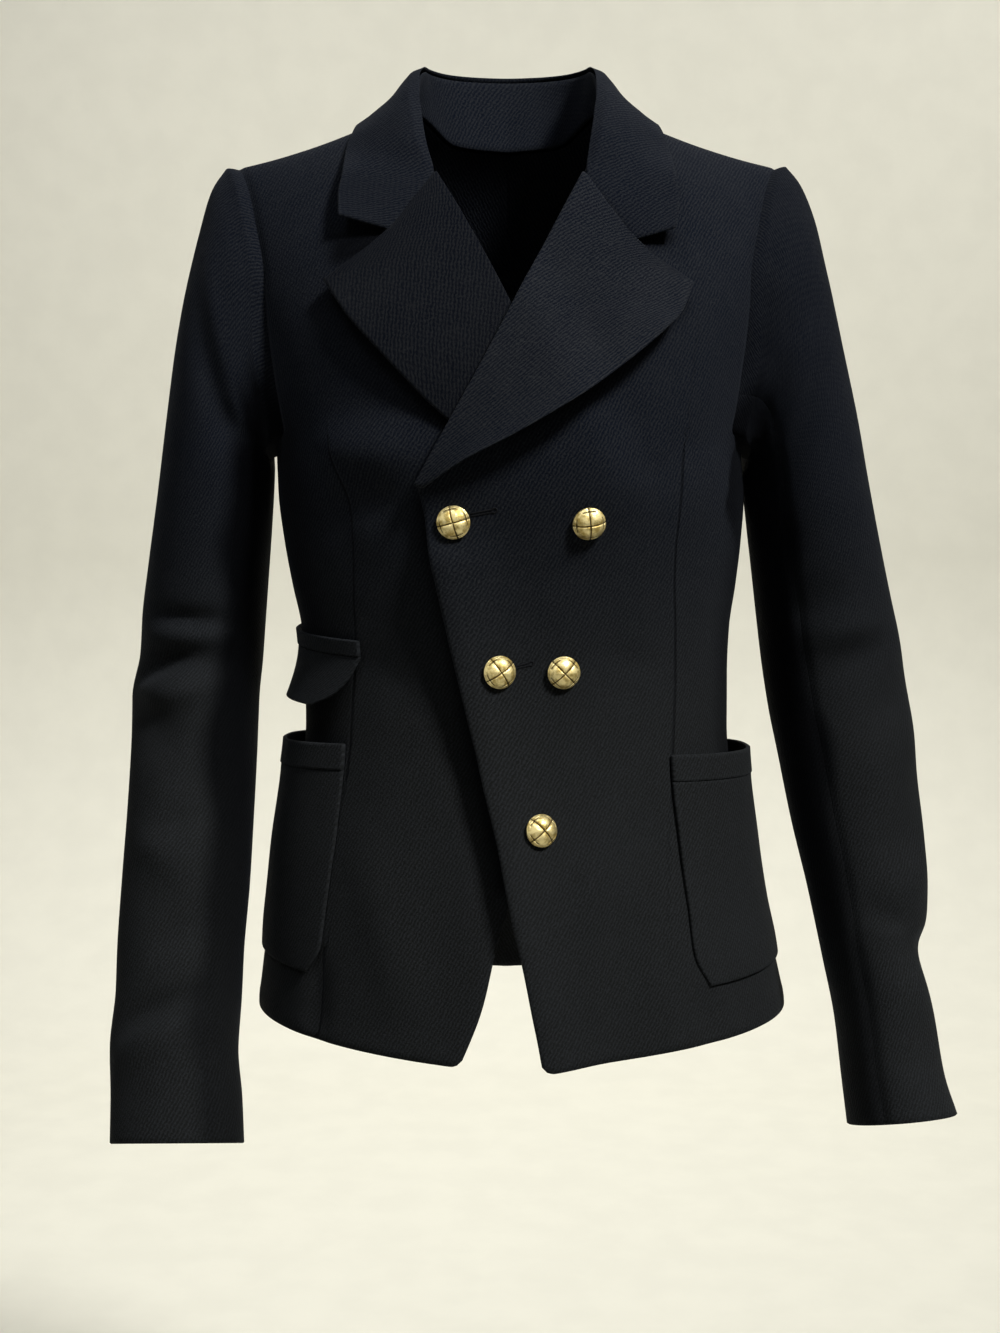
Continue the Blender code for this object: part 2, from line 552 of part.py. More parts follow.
def lapel(name: str, rows: tuple, side: int) -> None:
    """A lapel turned back over its front along the roll line, with a rounded fold."""
    data = table(LAPEL_COLUMNS, rows)
    section = table(ROLL_COLUMNS, ROLL_ROWS)
    roll = np.stack([data["roll_x"], data["roll_z"]], axis=-1)
    edge = np.stack([data["edge_x"], data["edge_z"]], axis=-1)
    along = np.gradient(roll, axis=0)
    along /= np.linalg.norm(along, axis=1)[:, None]
    past = np.stack([-along[:, 1], along[:, 0]], axis=-1) * side
    faces = [[], []]
    for k in range(len(section["share"])):
        share = section["share"][k]
        for face, key in enumerate(("inner", "outer")):
            beyond = section["past"][k] + (section["wrap"][k] if face else 0.0)
            spot = roll + (edge - roll) * share + past * beyond
            grid = places(spot[:, 0], spot[:, 1], side)
            loose = ease(np.array((share - LAPEL_HELD) / (1 - LAPEL_HELD)))
            lift = section[key][k] + data["proud"] * loose
            if side > 0:
                lift = lift + lap_lift(spot[:, 0], spot[:, 1])
            faces[face].append(form_point(grid[:, 0], grid[:, 1], lift))
    shift = np.array([0.0, -SEAM / 2, 0.0])
    shell(name, np.stack(faces[0], axis=1) + shift, np.stack(faces[1], axis=1) + shift)


def armhole(side: int) -> tuple:
    """Points round the armhole, from the shoulder by way of the front, and the way off each.

    Each point's angle is its share of the distance from the shoulder to the underarm.
    """
    front = panel_places(FRONT_ROWS, side, False)[1]
    back = panel_places(BACK_ROWS, side, True)[1]
    ahead = front[sum(row[-1] for row in FRONT_ROWS[:UNDERARM_ROW]) :][::-1]
    behind = back[sum(row[-1] for row in BACK_ROWS[:UNDERARM_ROW]) :]
    found = []
    for start, part in ((0.0, ahead), (180.0, behind)):
        base = form_point(part[:, 0], part[:, 1], 0.0)
        way = (form_point(part[:, 0], part[:, 1], WALL) - base) / WALL
        along = np.concatenate([[0.0], np.cumsum(np.linalg.norm(np.diff(base, axis=0), axis=1))])
        found.append((start + 180.0 * along / along[-1], base, way))
    joined = [np.concatenate([a, b[1:]]) for a, b in zip(*found)]
    return joined[0], joined[1], joined[2]


def at_angles(known: np.ndarray, values: np.ndarray, angles: np.ndarray) -> np.ndarray:
    """Points interpolated at these angles round a sleeve."""
    return np.stack([np.interp(angles % 360, known, values[:, k]) for k in range(3)], axis=-1)


def crease_push(creases: dict, row: float, angles: np.ndarray) -> np.ndarray:
    """How far the sleeve's creases press it in at this row, all the way round."""
    total = np.zeros(angles.shape)
    for k in range(len(creases["row"])):
        round_by = (angles - creases["angle"][k] + 180) % 360 - 180
        share = round_by / creases["half_angle"][k]
        middle = creases["row"][k] + creases["rise"][k] * share
        fade = ease(1 - np.abs(share))
        total += creases["depth"][k] * fade * np.exp(-(((row - middle) / creases["half_rows"][k]) ** 2))
    return total


def sleeve_ring(data: dict, row: float, angles: np.ndarray, side: int, off: np.ndarray) -> np.ndarray:
    """Points of one sleeve section, at a distance off its inner face.

    Near the head the section is part way between the armhole's shape and its own oval.
    """
    known = np.arange(len(data["outer_x"]), dtype=float)
    here = {name: float(smooth(known, data[name], row)) for name in SLEEVE_COLUMNS}
    outer = np.array([here["outer_x"] * side, here["middle_y"], here["outer_z"]])
    inner = np.array([here["inner_x"] * side, here["middle_y"], here["inner_z"]])
    middle = (outer + inner) / 2
    out = outer - inner
    half = np.linalg.norm(out) / 2 - WALL
    out = out / np.linalg.norm(out)
    lean = math.radians(here["lean"])
    ahead = np.array([0.0, -math.cos(lean), math.sin(lean)])
    wave = np.radians(angles)[:, None]
    off = np.broadcast_to(off, angles.shape)
    depth = here["half_depth"] - WALL
    oval = middle + out * np.cos(wave) * (half + off[:, None])
    oval += ahead * np.sin(wave) * (depth + off[:, None])
    if row >= HEAD_ROWS:
        return oval
    base = armhole(side)[1]
    tip, under = base[0], base[len(base) // 2]
    cap = cap_ring(angles, side, off) - tip
    share = (cap @ (under - tip) / ((under - tip) @ (under - tip)))[:, None]
    aside = cap - (under - tip) * share
    own = ease(np.array((row + 1) / (HEAD_ROWS + 1)))
    return (outer + (inner - outer) * share + aside) * (1 - own) + oval * own


def cap_ring(angles: np.ndarray, side: int, off: np.ndarray) -> np.ndarray:
    """First ring of a sleeve, just off the armhole."""
    known, base, way = armhole(side)
    start = at_angles(known, base, angles)
    way = at_angles(known, way, angles)
    middle = (base[0] + base[len(base) // 2]) / 2
    low = np.abs((angles + 180) % 360 - 180)
    lift = CAP_LIFT * ease((low - CAP_LIFT_FROM) / (CAP_LIFT_TO - CAP_LIFT_FROM))
    swing = ease((low - CAP_TURN_FROM) / (CAP_TURN_TO - CAP_TURN_FROM))
    radial = start - middle
    radial[:, 0] = 0.0
    radial /= np.linalg.norm(radial, axis=1)[:, None]
    shift = np.array([CAP_GAP * side, 0.0, 0.0])
    raised = start + way * (lift + off * (1 - swing))[:, None]
    return raised + radial * (off * swing - SEAM)[:, None] + shift


def sleeve(side: int, rows: tuple, creases: tuple) -> None:
    """A two-piece set-in sleeve: top sleeve and under sleeve."""
    data = table(SLEEVE_COLUMNS, rows)
    folds = table(CREASE_COLUMNS, creases)
    gap = math.degrees(SEAM / 2 / SLEEVE_RADIUS)
    word = "left" if side > 0 else "right"
    stations = sorted({*range(len(rows)), *(k + 0.5 for k in range(*CREASED_ROWS))})
    behind = np.linspace(BACK_SEAM_ANGLE - 360 + gap, 0.0, BACK_COLUMNS_ROUND)
    ahead = np.linspace(0.0, FRONT_SEAM_ANGLE - gap, FRONT_COLUMNS_ROUND)
    under = np.linspace(FRONT_SEAM_ANGLE + gap, BACK_SEAM_ANGLE - gap, UNDER_COLUMNS_ROUND)
    spans = (("top_sleeve_", np.concatenate([behind, ahead[1:]])), ("under_sleeve_", under))
    for name, angles in spans:
        faces = []
        for off in (0.0, WALL):
            rings = [cap_ring(angles, side, off)]
            rise = CAP_ROLL * ease(np.cos(np.radians(angles)))
            rings.append((rings[0] + sleeve_ring(data, 0, angles, side, off + 2 * rise)) / 2)
            for row in stations:
                push = crease_push(folds, row, angles)
                rings.append(sleeve_ring(data, row, angles, side, off - push))
            faces.append(np.stack(rings))
        shell(name + word, faces[0], faces[1])


def collar_side(side: int) -> tuple:
    """Fold points, edge points, roll and stand from a notch to centre back."""
    data = table(COLLAR_COLUMNS, COLLAR_END_ROWS[side] + COLLAR_ROWS)
    folds, edges = [], []
    for k in range(len(data["fold_x"])):
        behind = bool(data["behind"][k])
        place = form_place(data["edge_x"][k] * side, data["edge_z"][k], side, behind)
        edges.append(form_point(place[0], place[1], COLLAR_EDGE_LIFT))
        if math.isnan(data["fold_y"][k]):
            spot = form_place(data["fold_x"][k] * side, data["fold_z"][k], side)
            folds.append(form_point(spot[0], spot[1], COLLAR_SEAM_LIFT))
        else:
            folds.append(np.array([data["fold_x"][k] * side, data["fold_y"][k], data["fold_z"][k]]))
    return np.array(folds), np.array(edges), data["roll"], data["stand"]


def collar_rows() -> list:
    """The same four, right round from the wearer's right notch to the left one."""
    return [np.concatenate([a, b[-2::-1]]) for a, b in zip(collar_side(-1), collar_side(1))]


def collar() -> None:
    """The fall of the collar, from its fold to its free edge, and its two notched ends."""
    folds, edges, roll, _ = collar_rows()
    section = table(FALL_COLUMNS, FALL_ROWS)
    down = edges - folds
    down /= np.linalg.norm(down, axis=1)[:, None]
    along = np.gradient(folds, axis=0)
    out = np.cross(along, down)
    out /= np.linalg.norm(out, axis=1)[:, None]
    fullness = LEAF_BULGE + (1 - LEAF_BULGE) * roll
    faces = [[], []]
    for k, share in enumerate(section["share"]):
        base = folds + (edges - folds) * share + out * (section["bulge"][k] * fullness)[:, None]
        flat = np.maximum(1 - roll, min(share / TURNED_BY, 1.0))[:, None]
        faces[0].append(base)
        faces[1].append(base + (out * flat - down * (1 - flat)) * WALL)
    shell("collar", np.stack(faces[0], axis=1), np.stack(faces[1], axis=1))


def neck_points(folds: np.ndarray) -> np.ndarray:
    """The neck seam below each fold point, on the top edges of the body panels."""
    front = panel_places(FRONT_ROWS, 1, False)[0]
    back = panel_places(BACK_ROWS, 1, True)[0]
    front = front[-FRONT_NECK_ROWS:]
    back = back[-BACK_NECK_ROWS:]
    front = form_point(front[:, 0], front[:, 1], WALL / 2)
    back = form_point(back[:, 0], back[:, 1], WALL / 2)
    line = np.concatenate([front, back[-2::-1]])
    away = np.arctan2(line[:, 0], -line[:, 1])
    wanted = np.arctan2(np.abs(folds[:, 0]), -folds[:, 1])
    found = np.stack([np.interp(wanted, away, line[:, k]) for k in range(3)], axis=-1)
    found[:, 0] *= np.sign(folds[:, 0])
    return found


def collar_stand() -> None:
    """The stand, from the neck seam up to just under the fold."""
    folds, _, _, stand = collar_rows()
    keep = stand > 0
    tops = folds[keep]
    away = tops - np.array([0.0, NECK_MIDDLE_Y, 0.0])
    away[:, 2] = 0.0
    away /= np.linalg.norm(away, axis=1)[:, None]
    feet = neck_points(tops) - away * (WALL / 2 + SEAM)
    feet[:, 2] += WALL / 2 + SEAM
    tops = tops - np.array([0.0, 0.0, WALL + SEAM])
    inner = np.stack([feet + (tops - feet) * k for k in (0.0, 0.5, 1.0)], axis=1)
    shell("collar_stand", inner - away[:, None, :] * WALL, inner)


def pocket(word: str, side: int) -> None:
    """A patch pocket standing open at its mouth, and the band along that mouth."""
    shape = table(POCKET_SHAPE_COLUMNS, POCKET_SHAPE_ROWS)
    for name, rows, wall in (("pocket_", POCKET_ROWS, WALL), ("pocket_band_", BAND_ROWS, BAND_WALL)):
        data = table(POCKET_COLUMNS, rows)
        rise = 0.0 if side > 0 else RIGHT_POCKET_RISE
        front = places(data["front_x"] * side, data["front_z"] + rise, side)
        climbs = data["back_z"] + rise - SLOPE_START
        back = np.stack([np.radians(data["back_turn"]) * side, climbs], axis=-1)
        grid = between(front, back, shape["across"])
        swell = POCKET_SEAT + POCKET_FULLNESS * data["full"][:, None] * shape["bulge"][None, :]
        faces = [form_point(grid[..., 0], grid[..., 1], swell + k) for k in (0.0, wall)]
        shell(name + word, faces[0], faces[1])


def ticket_pocket() -> None:
    """The welt and the flap of the small pocket on the wearer's right."""
    first, last = math.radians(TICKET_FRONT_TURN), math.radians(TICKET_BACK_TURN)
    shares = np.linspace(0.0, 1.0, TICKET_COLUMNS_ACROSS)
    turns = first + (last - first) * shares
    welt = np.array([[a + (b - a) * s - SLOPE_START for s in shares] for a, b in WELT_ROWS])
    faces = [form_point(-turns[None, :], welt, TICKET_SEAT + k) for k in (0.0, BAND_WALL)]
    shell("ticket_welt", faces[0], faces[1])
    data = table(FLAP_COLUMNS, FLAP_ROWS)
    starts = first + (last - first) * data["front_share"]
    grid = np.stack([starts[:, None] + (last - starts)[:, None] * shares[None, :]] * 2, axis=-1)
    grid[..., 1] = data["front_z"][:, None] * (1 - shares) + data["back_z"][:, None] * shares
    grid[..., 1] -= SLOPE_START
    kick = TICKET_SEAT + data["kick"][:, None] * np.ones_like(shares)
    faces = [form_point(-grid[..., 0], grid[..., 1], kick + k) for k in (0.0, WALL)]
    shell("ticket_flap", faces[0], faces[1])


def left_front_point(x: float, z: float) -> np.ndarray:
    """Point on the outer face of the overlapping front, seen square from the front."""
    turn, climb = form_place(x, z, 1)
    return form_point(turn, climb, float(lap_lift(np.array(x), np.array(z))) + WALL)


def button(name: str, x: float, z: float, spin: float) -> None:
    """A domed button with two crossing grooves between its strands."""
    seat = left_front_point(x, z)
    beside = left_front_point(x + BUTTON_RADIUS / 2, z) - left_front_point(x - BUTTON_RADIUS / 2, z)
    above = left_front_point(x, z + BUTTON_RADIUS / 2) - left_front_point(x, z - BUTTON_RADIUS / 2)
    normal = np.cross(beside, above)
    normal /= np.linalg.norm(normal)
    up = above / np.linalg.norm(above)
    right = np.cross(up, normal)
    seat = seat + normal * BUTTON_SEAT
    profile = table(BUTTON_PROFILE_COLUMNS, BUTTON_PROFILE_ROWS)
    wave = np.linspace(0, 2 * math.pi, BUTTON_SECTORS, endpoint=False)
    rings = []
    for k, share in enumerate(profile["share"][1:], start=1):
        radius = share * BUTTON_RADIUS
        u, v = radius * np.cos(wave), radius * np.sin(wave)
        near = np.minimum(np.abs(u), np.abs(v))
        groove = GROOVE_DEPTH * profile["relief"][k] * np.exp(-((near / GROOVE_HALF) ** 2))
        height = profile["height"][k] - groove
        rings.append(np.stack([u, v, height], axis=-1))
    u, v = BUTTON_RADIUS * np.cos(wave), BUTTON_RADIUS * np.sin(wave)
    rings.append(np.stack([u, v, np.full_like(u, BUTTON_FOOT)], axis=-1))
    rings.append(np.stack([u * FOOT_SHARE, v * FOOT_SHARE, np.zeros_like(u)], axis=-1))
    local = np.concatenate(rings + [[[0, 0, profile["height"][0] - GROOVE_DEPTH], [0, 0, 0.0]]])
    tilt = math.radians(spin)
    a = local[:, 0] * math.cos(tilt) - local[:, 1] * math.sin(tilt)
    b = local[:, 0] * math.sin(tilt) + local[:, 1] * math.cos(tilt)
    points = seat + a[:, None] * right + b[:, None] * up + local[:, 2:3] * normal
    top, foot = len(local) - 2, len(local) - 1
    faces = []
    for k in range(BUTTON_SECTORS):
        after = (k + 1) % BUTTON_SECTORS
        faces.append([top, k, after])
        for ring in range(len(rings) - 1):
            here = ring * BUTTON_SECTORS
            below = here + BUTTON_SECTORS
            faces.append([here + k, below + k, below + after, here + after])
        here = (len(rings) - 1) * BUTTON_SECTORS
        faces.append([foot, here + after, here + k])
    add_part(name, points, faces, brass=True)


def main() -> None:
    """Clears the scene and makes every part."""
    for old in list(bpy.data.objects):
        bpy.data.objects.remove(old, do_unlink=True)
    bpy.context.scene.collection.children.link(bpy.data.collections.new("blazer"))
    front_panels()
    back_panels()
    lapel("lapel_left", LAPEL_LEFT_ROWS, 1)
    lapel("lapel_right", LAPEL_RIGHT_ROWS, -1)
    collar()
    collar_stand()
    sleeve(1, SLEEVE_LEFT_ROWS, CREASES_LEFT)
    sleeve(-1, SLEEVE_RIGHT_ROWS, CREASES_RIGHT)
    pocket("left", 1)
    pocket("right", -1)
    ticket_pocket()
    buttons = table(BUTTON_COLUMNS, BUTTON_ROWS)
    for k in range(len(BUTTON_ROWS)):
        button(f"button_{k + 1}", buttons["x"][k], buttons["z"][k], buttons["spin"][k])


main()
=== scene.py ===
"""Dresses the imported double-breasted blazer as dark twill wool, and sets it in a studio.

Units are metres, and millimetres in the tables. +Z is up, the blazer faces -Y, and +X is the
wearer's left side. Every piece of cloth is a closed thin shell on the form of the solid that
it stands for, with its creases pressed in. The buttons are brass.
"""

import logging
import math
from dataclasses import dataclass, replace
from enum import Enum

import bmesh
import bpy
import numpy as np
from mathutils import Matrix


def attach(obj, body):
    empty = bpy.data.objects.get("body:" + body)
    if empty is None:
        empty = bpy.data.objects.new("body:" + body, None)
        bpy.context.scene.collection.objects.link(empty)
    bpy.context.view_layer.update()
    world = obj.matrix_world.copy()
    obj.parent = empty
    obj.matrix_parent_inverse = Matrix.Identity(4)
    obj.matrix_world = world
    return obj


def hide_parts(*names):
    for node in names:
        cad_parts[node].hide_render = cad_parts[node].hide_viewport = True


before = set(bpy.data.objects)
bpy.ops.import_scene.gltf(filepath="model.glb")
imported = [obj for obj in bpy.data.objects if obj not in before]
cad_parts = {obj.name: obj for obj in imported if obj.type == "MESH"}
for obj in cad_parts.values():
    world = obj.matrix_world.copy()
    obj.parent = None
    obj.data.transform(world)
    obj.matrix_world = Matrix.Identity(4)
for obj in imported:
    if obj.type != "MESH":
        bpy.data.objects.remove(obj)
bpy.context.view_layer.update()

log = logging.getLogger("blazer")

Array, Material = np.ndarray, bpy.types.Material
NodeTree, Socket = bpy.types.NodeTree, bpy.types.NodeSocket
FLOAT, VECTOR = "NodeSocketFloat", "NodeSocketVector"


class Side(Enum):
    """The wearer's left or right."""

    LEFT = 1
    RIGHT = -1

    @property
    def word(self) -> str:
        """The side as it stands in names."""
        return self.name.lower()


LEFT, RIGHT = Side.LEFT, Side.RIGHT


class Held(Enum):
    """How a sheet of cloth is held."""

    HUNG = "hung"
    LAID = "laid"
    FOLDED = "folded"


# Columns of the tables that aren't lengths: shares, angles in degrees, and row numbers.
UNITLESS = set(
    "square share at_back roll lean row angle half_angle half_rows rise back_turn full across"
    " swell front_share spin".split()
)


def table(names: str, *rows: tuple) -> dict:
    """Reads a table whose lengths are in millimetres.

    Args:
        names: the columns' names in order.
        *rows: the rows. None becomes NaN.

    Returns:
        One array for each column, its lengths in metres.
    """
    columns = np.array(rows, float).T
    return {k: v if k in UNITLESS else v / 1000 for k, v in zip(names.split(), columns)}


def rows_of(data: dict) -> list:
    """A table's rows, each with its cells in the columns' order."""
    return list(zip(*data.values()))


def path(*points: tuple) -> Array:
    """A line through points given in millimetres."""
    return np.array(points) / 1000


WALL = 0.0020  # cloth with its facing, pressed flat
SEAM = 0.00034  # space between two pieces where they meet
TINY = 1e-12  # keeps a division by a length of 0 from failing

# Fineness of the meshes.
FINE_PER_ROW = 9  # mesh rows between two rows of a table
SLEEVE_FINE_PER_ROW = 8
LAPEL_FINE_PER_STEP = 7
PANEL_FINE_ACROSS, COLLAR_FINE_ACROSS = 72, 44
POCKET_FINE_ACROSS, TICKET_FINE_ACROSS = 64, 60
BAND_FINE, WELT_FINE, STAND_FINE = 12, 16, 14
ARMHOLE_FINE, NECK_FINE = 60, 40
TOP_SLEEVE_FINE_AROUND, UNDER_SLEEVE_FINE_AROUND = 96, 56
SLIT_FINE, EYE_FINE, SWEEP_FINE = 16, 22, 25
EVEN_PART = 0.45  # how much of the spacing across a sheet is even, and not closer at its edges

# Dress form.
SLOPE_START = -0.170  # height where the chest starts to close in to the shoulders
FORM = table(
    "height half_width front behind shift square",
    (-660, 185, 126, 125, 10.5, 2.25),
    (-600, 180.5, 123, 123, 10, 2.25),
    (-566, 175.2, 121, 120, 8.5, 2.25),
    (-525, 165.5, 117, 115, 6, 2.25),
    (-485, 156.5, 112, 108, 5, 2.25),
    (-437, 146, 105, 97, 5.5, 2.25),
    (-405, 142.5, 101, 89, 6.2, 2.25),
    (-370, 142.5, 99, 85, 6, 2.25),
    (-340, 144, 101, 86, 5.5, 2.25),
    (-310, 149, 106, 90, 4.5, 2.25),
    (-280, 153, 112, 95, 3.5, 2.3),
    (-250, 155.3, 118, 99, 2.5, 2.35),
    (-221.5, 154.5, 121, 102, 1, 2.4),
    (-190, 159, 121, 104, 0.5, 2.4),
    (-150, 167, 118, 105, 0, 2.4),
    (-100, 177.5, 112, 103, 0, 2.4),
    (-50, 185.5, 104, 99, 0, 2.4),
    (0, 190, 98, 94, 0, 2.4),
)
RIDGE = table(
    "out height",
    (0, 12),
    (40, 9),
    (68, 2.2),
    (95, -8.5),
    (120, -18),
    (134, -22.6),
    (158, -29.4),
    (181, -34.5),
    (205, -40),
)

# Body panels. Each row joins a place on the inner edge (front edge and roll line, or centre
# back) to one on the outer edge (side seam and armhole), seen square from the front or back.
# A None stands for the side seam itself, where the form turns from front to back, or for the
# shoulder line.
FRONT = table(
    "left_x right_x edge_z side_x side_z",
    (21.8, -31, -612, None, -598.5),
    (15.1, -16.8, -575, None, -562),
    (8.3, -8.6, -539.4, None, -525),
    (1.3, 1, -505.9, None, -490),
    (-4.4, 7.1, -472.6, None, -455),
    (-14, 15.4, -427, None, -413),
    (-23.6, 23.8, -381.6, None, -372),
    (-33.2, 32.2, -336, None, -331),
    (-42.8, 40.6, -290.6, None, -290),
    (-52.6, 49, -244.2, None, -248),
    (-34.3, 33.5, -209.2, None, -222.5),
    (-15.9, 18, -174.2, 145, -207.5),
    (2.5, 2.5, -139.1, 149, -185),
    (17.8, -12.5, -109.1, 152.3, -160),
    (33.1, -29, -79.1, 155, -132),
    (48, -46, -50, 157, -100),
    (56, -56, -27, 164.5, -68),
    (68, -68, None, 180, None),
)
BACK = table(
    "left_x right_x edge_z side_x side_z",
    (0, 0, -611, None, -598.5),
    (0, 0, -572, None, -562),
    (0, 0, -535, None, -525),
    (0, 0, -498, None, -490),
    (0, 0, -461, None, -455),
    (0, 0, -417, None, -413),
    (0, 0, -374, None, -372),
    (0, 0, -331, None, -331),
    (0, 0, -287, None, -290),
    (0, 0, -243, None, -248),
    (0, 0, -203, None, -222.5),
    (0, 0, -166, 152, -204),
    (0, 0, -129, 159, -180),
    (0, 0, -92, 162, -150),
    (0, 0, -53, 164, -115),
    (0, 0, -15, 167.5, -82),
    (38, -38, -11.5, 173.5, -56),
    (68, -68, None, 180, None),
)
LAST_ROW = 17  # the shoulder seam
UNDERARM_ROW = 10  # where the side seam ends and the armhole starts
FRONT_CORNERS, BACK_CORNERS = (9, 15, 16), (15,)  # rows where the inner edge turns sharply
EVEN_ROW, EVEN_WIDTH = 0.037, 0.24  # mean size of a panel's table row and of its width

# The wearer's left front laps over the right one. Its lift clears what lies beneath, up to
# the hidden edge of the right front.
LAP = table(
    "height hidden_edge lift",
    (-640, -40, 3.6),
    (-506, 3, 3.6),
    (-300, 40, 3.6),
    (-244.2, 59, 6.6),
    (-139.1, 8.5, 7.2),
    (-49, -40, 7.2),
)

# Lapels. Each row gives the roll line and the free edge, seen from the front, and how far
# that edge stands proud. The left front crosses the lower part of the right lapel.
LAPEL_COLUMNS = "roll_x roll_z edge_x edge_z proud"
LAPEL = {
    LEFT: table(
        LAPEL_COLUMNS,
        (-52.6, -244.2, -49, -245.2, 0),
        (-44, -227.8, -23.7, -227.5, 3),
        (-34.3, -209.2, 1, -214, 5),
        (-24, -189.6, 28.8, -196.8, 6.2),
        (-11, -164.8, 63.8, -172.5, 6.6),
        (2.5, -139.1, 91.2, -149.5, 6),
        (14, -116.5, 102.5, -137.5, 4.5),
        (25.5, -94, 110.4, -120, 3),
        (36, -73.4, 97.5, -111, 2.2),
        (47.6, -50.8, 76.4, -94.4, 1.2),
    ),
    RIGHT: table(
        LAPEL_COLUMNS,
        (49, -244.2, 45.5, -245.2, 0),
        (41.5, -227.2, 22, -230, 0),
        (33.5, -209.2, -2, -222, 0),
        (24, -187.8, -24, -212, 0.3),
        (13.3, -163.6, -44, -195.5, 1.5),
        (2.5, -139.1, -72, -165, 4),
        (-9, -116, -93, -142, 4.5),
        (-20.6, -94.3, -110.4, -118, 3),
        (-32.5, -72.8, -96.5, -107.5, 2.2),
        (-45.5, -50.8, -71.5, -88, 1.2),
    ),
}
PEAK_ROW = 7
STAND_OFF = {LEFT: 3.3, RIGHT: 2.2}  # times its proud height that a lapel's edge stands off
# Section across a lapel, from its start behind the fold to its free edge: the share of the
# width, the distance past the fold, and the heights of its two faces off the panel's form.
ROLL = table(
    "share past inner outer wrap",
    (0, 0.6, 0.2, 0.4, 2),
    (0, 0.6, 2.6, 4.6, 1.2),
    (0.03, 0, 3, 5.1, 0),
    (0.14, 0, 3.1, 5.1, 0),
    (0.38, 0, 3, 5, 0),
    (0.64, 0, 3, 5, 0),
    (0.84, 0, 2.9, 4.9, 0),
    (1, 0, 2.8, 4.8, 0),
)

# Collar. Each row joins the fold to the free edge, from the notch to centre back. The edge
# is seen square from the front where at_back is 0, and from the back where it is 1. The roll
# is 0 along the seam with the lapel, where the cloth lies flat, and 1 where it turns over.
COLLAR_ENDS = {
    LEFT: (
        (77, None, -93.2, 102.1, -85.9, 0, 0, 0),
        (62.5, None, -71.4, 104.2, -69, 0, 0, 0),
        (49, None, -50, 103.2, -51, 0, 0, 0),
    ),
    RIGHT: (
        (72.2, None, -86.9, 103.4, -77.8, 0, 0, 0),
        (59.5, None, -68, 103.8, -64, 0, 0, 0),
        (46.5, None, -50, 101.8, -49.5, 0, 0, 0),
    ),
}
COLLAR_ROUND = (
    (54, -68, -25, 100.8, -33.5, 0, 1, 8),
    (57, -54.5, -6, 98, -21, 0, 1, 16),
    (58.8, -40, 10, 95, None, 0, 1, 22),
    (59, -23, 22.5, 92.5, -14, 1, 1, 27),
    (57.5, -5, 31, 89.2, -19.5, 1, 1, 30),
    (55.2, 27, 37.5, 84, -25, 1, 1, 34),
    (42, 54, 39, 59, -25, 1, 1, 36),
    (21, 66, 39.5, 30, -24, 1, 1, 37),
    (0, 69, 39.5, 0, -23.5, 1, 1, 37),
)
COLLAR_COLUMNS = "fold_x fold_y fold_z edge_x edge_z at_back roll stand"
COLLAR = {side: table(COLLAR_COLUMNS, *COLLAR_ENDS[side], *COLLAR_ROUND) for side in Side}
FALL = table(
    "share bulge",
    (0, 0),
    (0.07, 2.8),
    (0.25, 4),
    (0.55, 3),
    (0.8, 1.4),
    (1, 0.4),
)

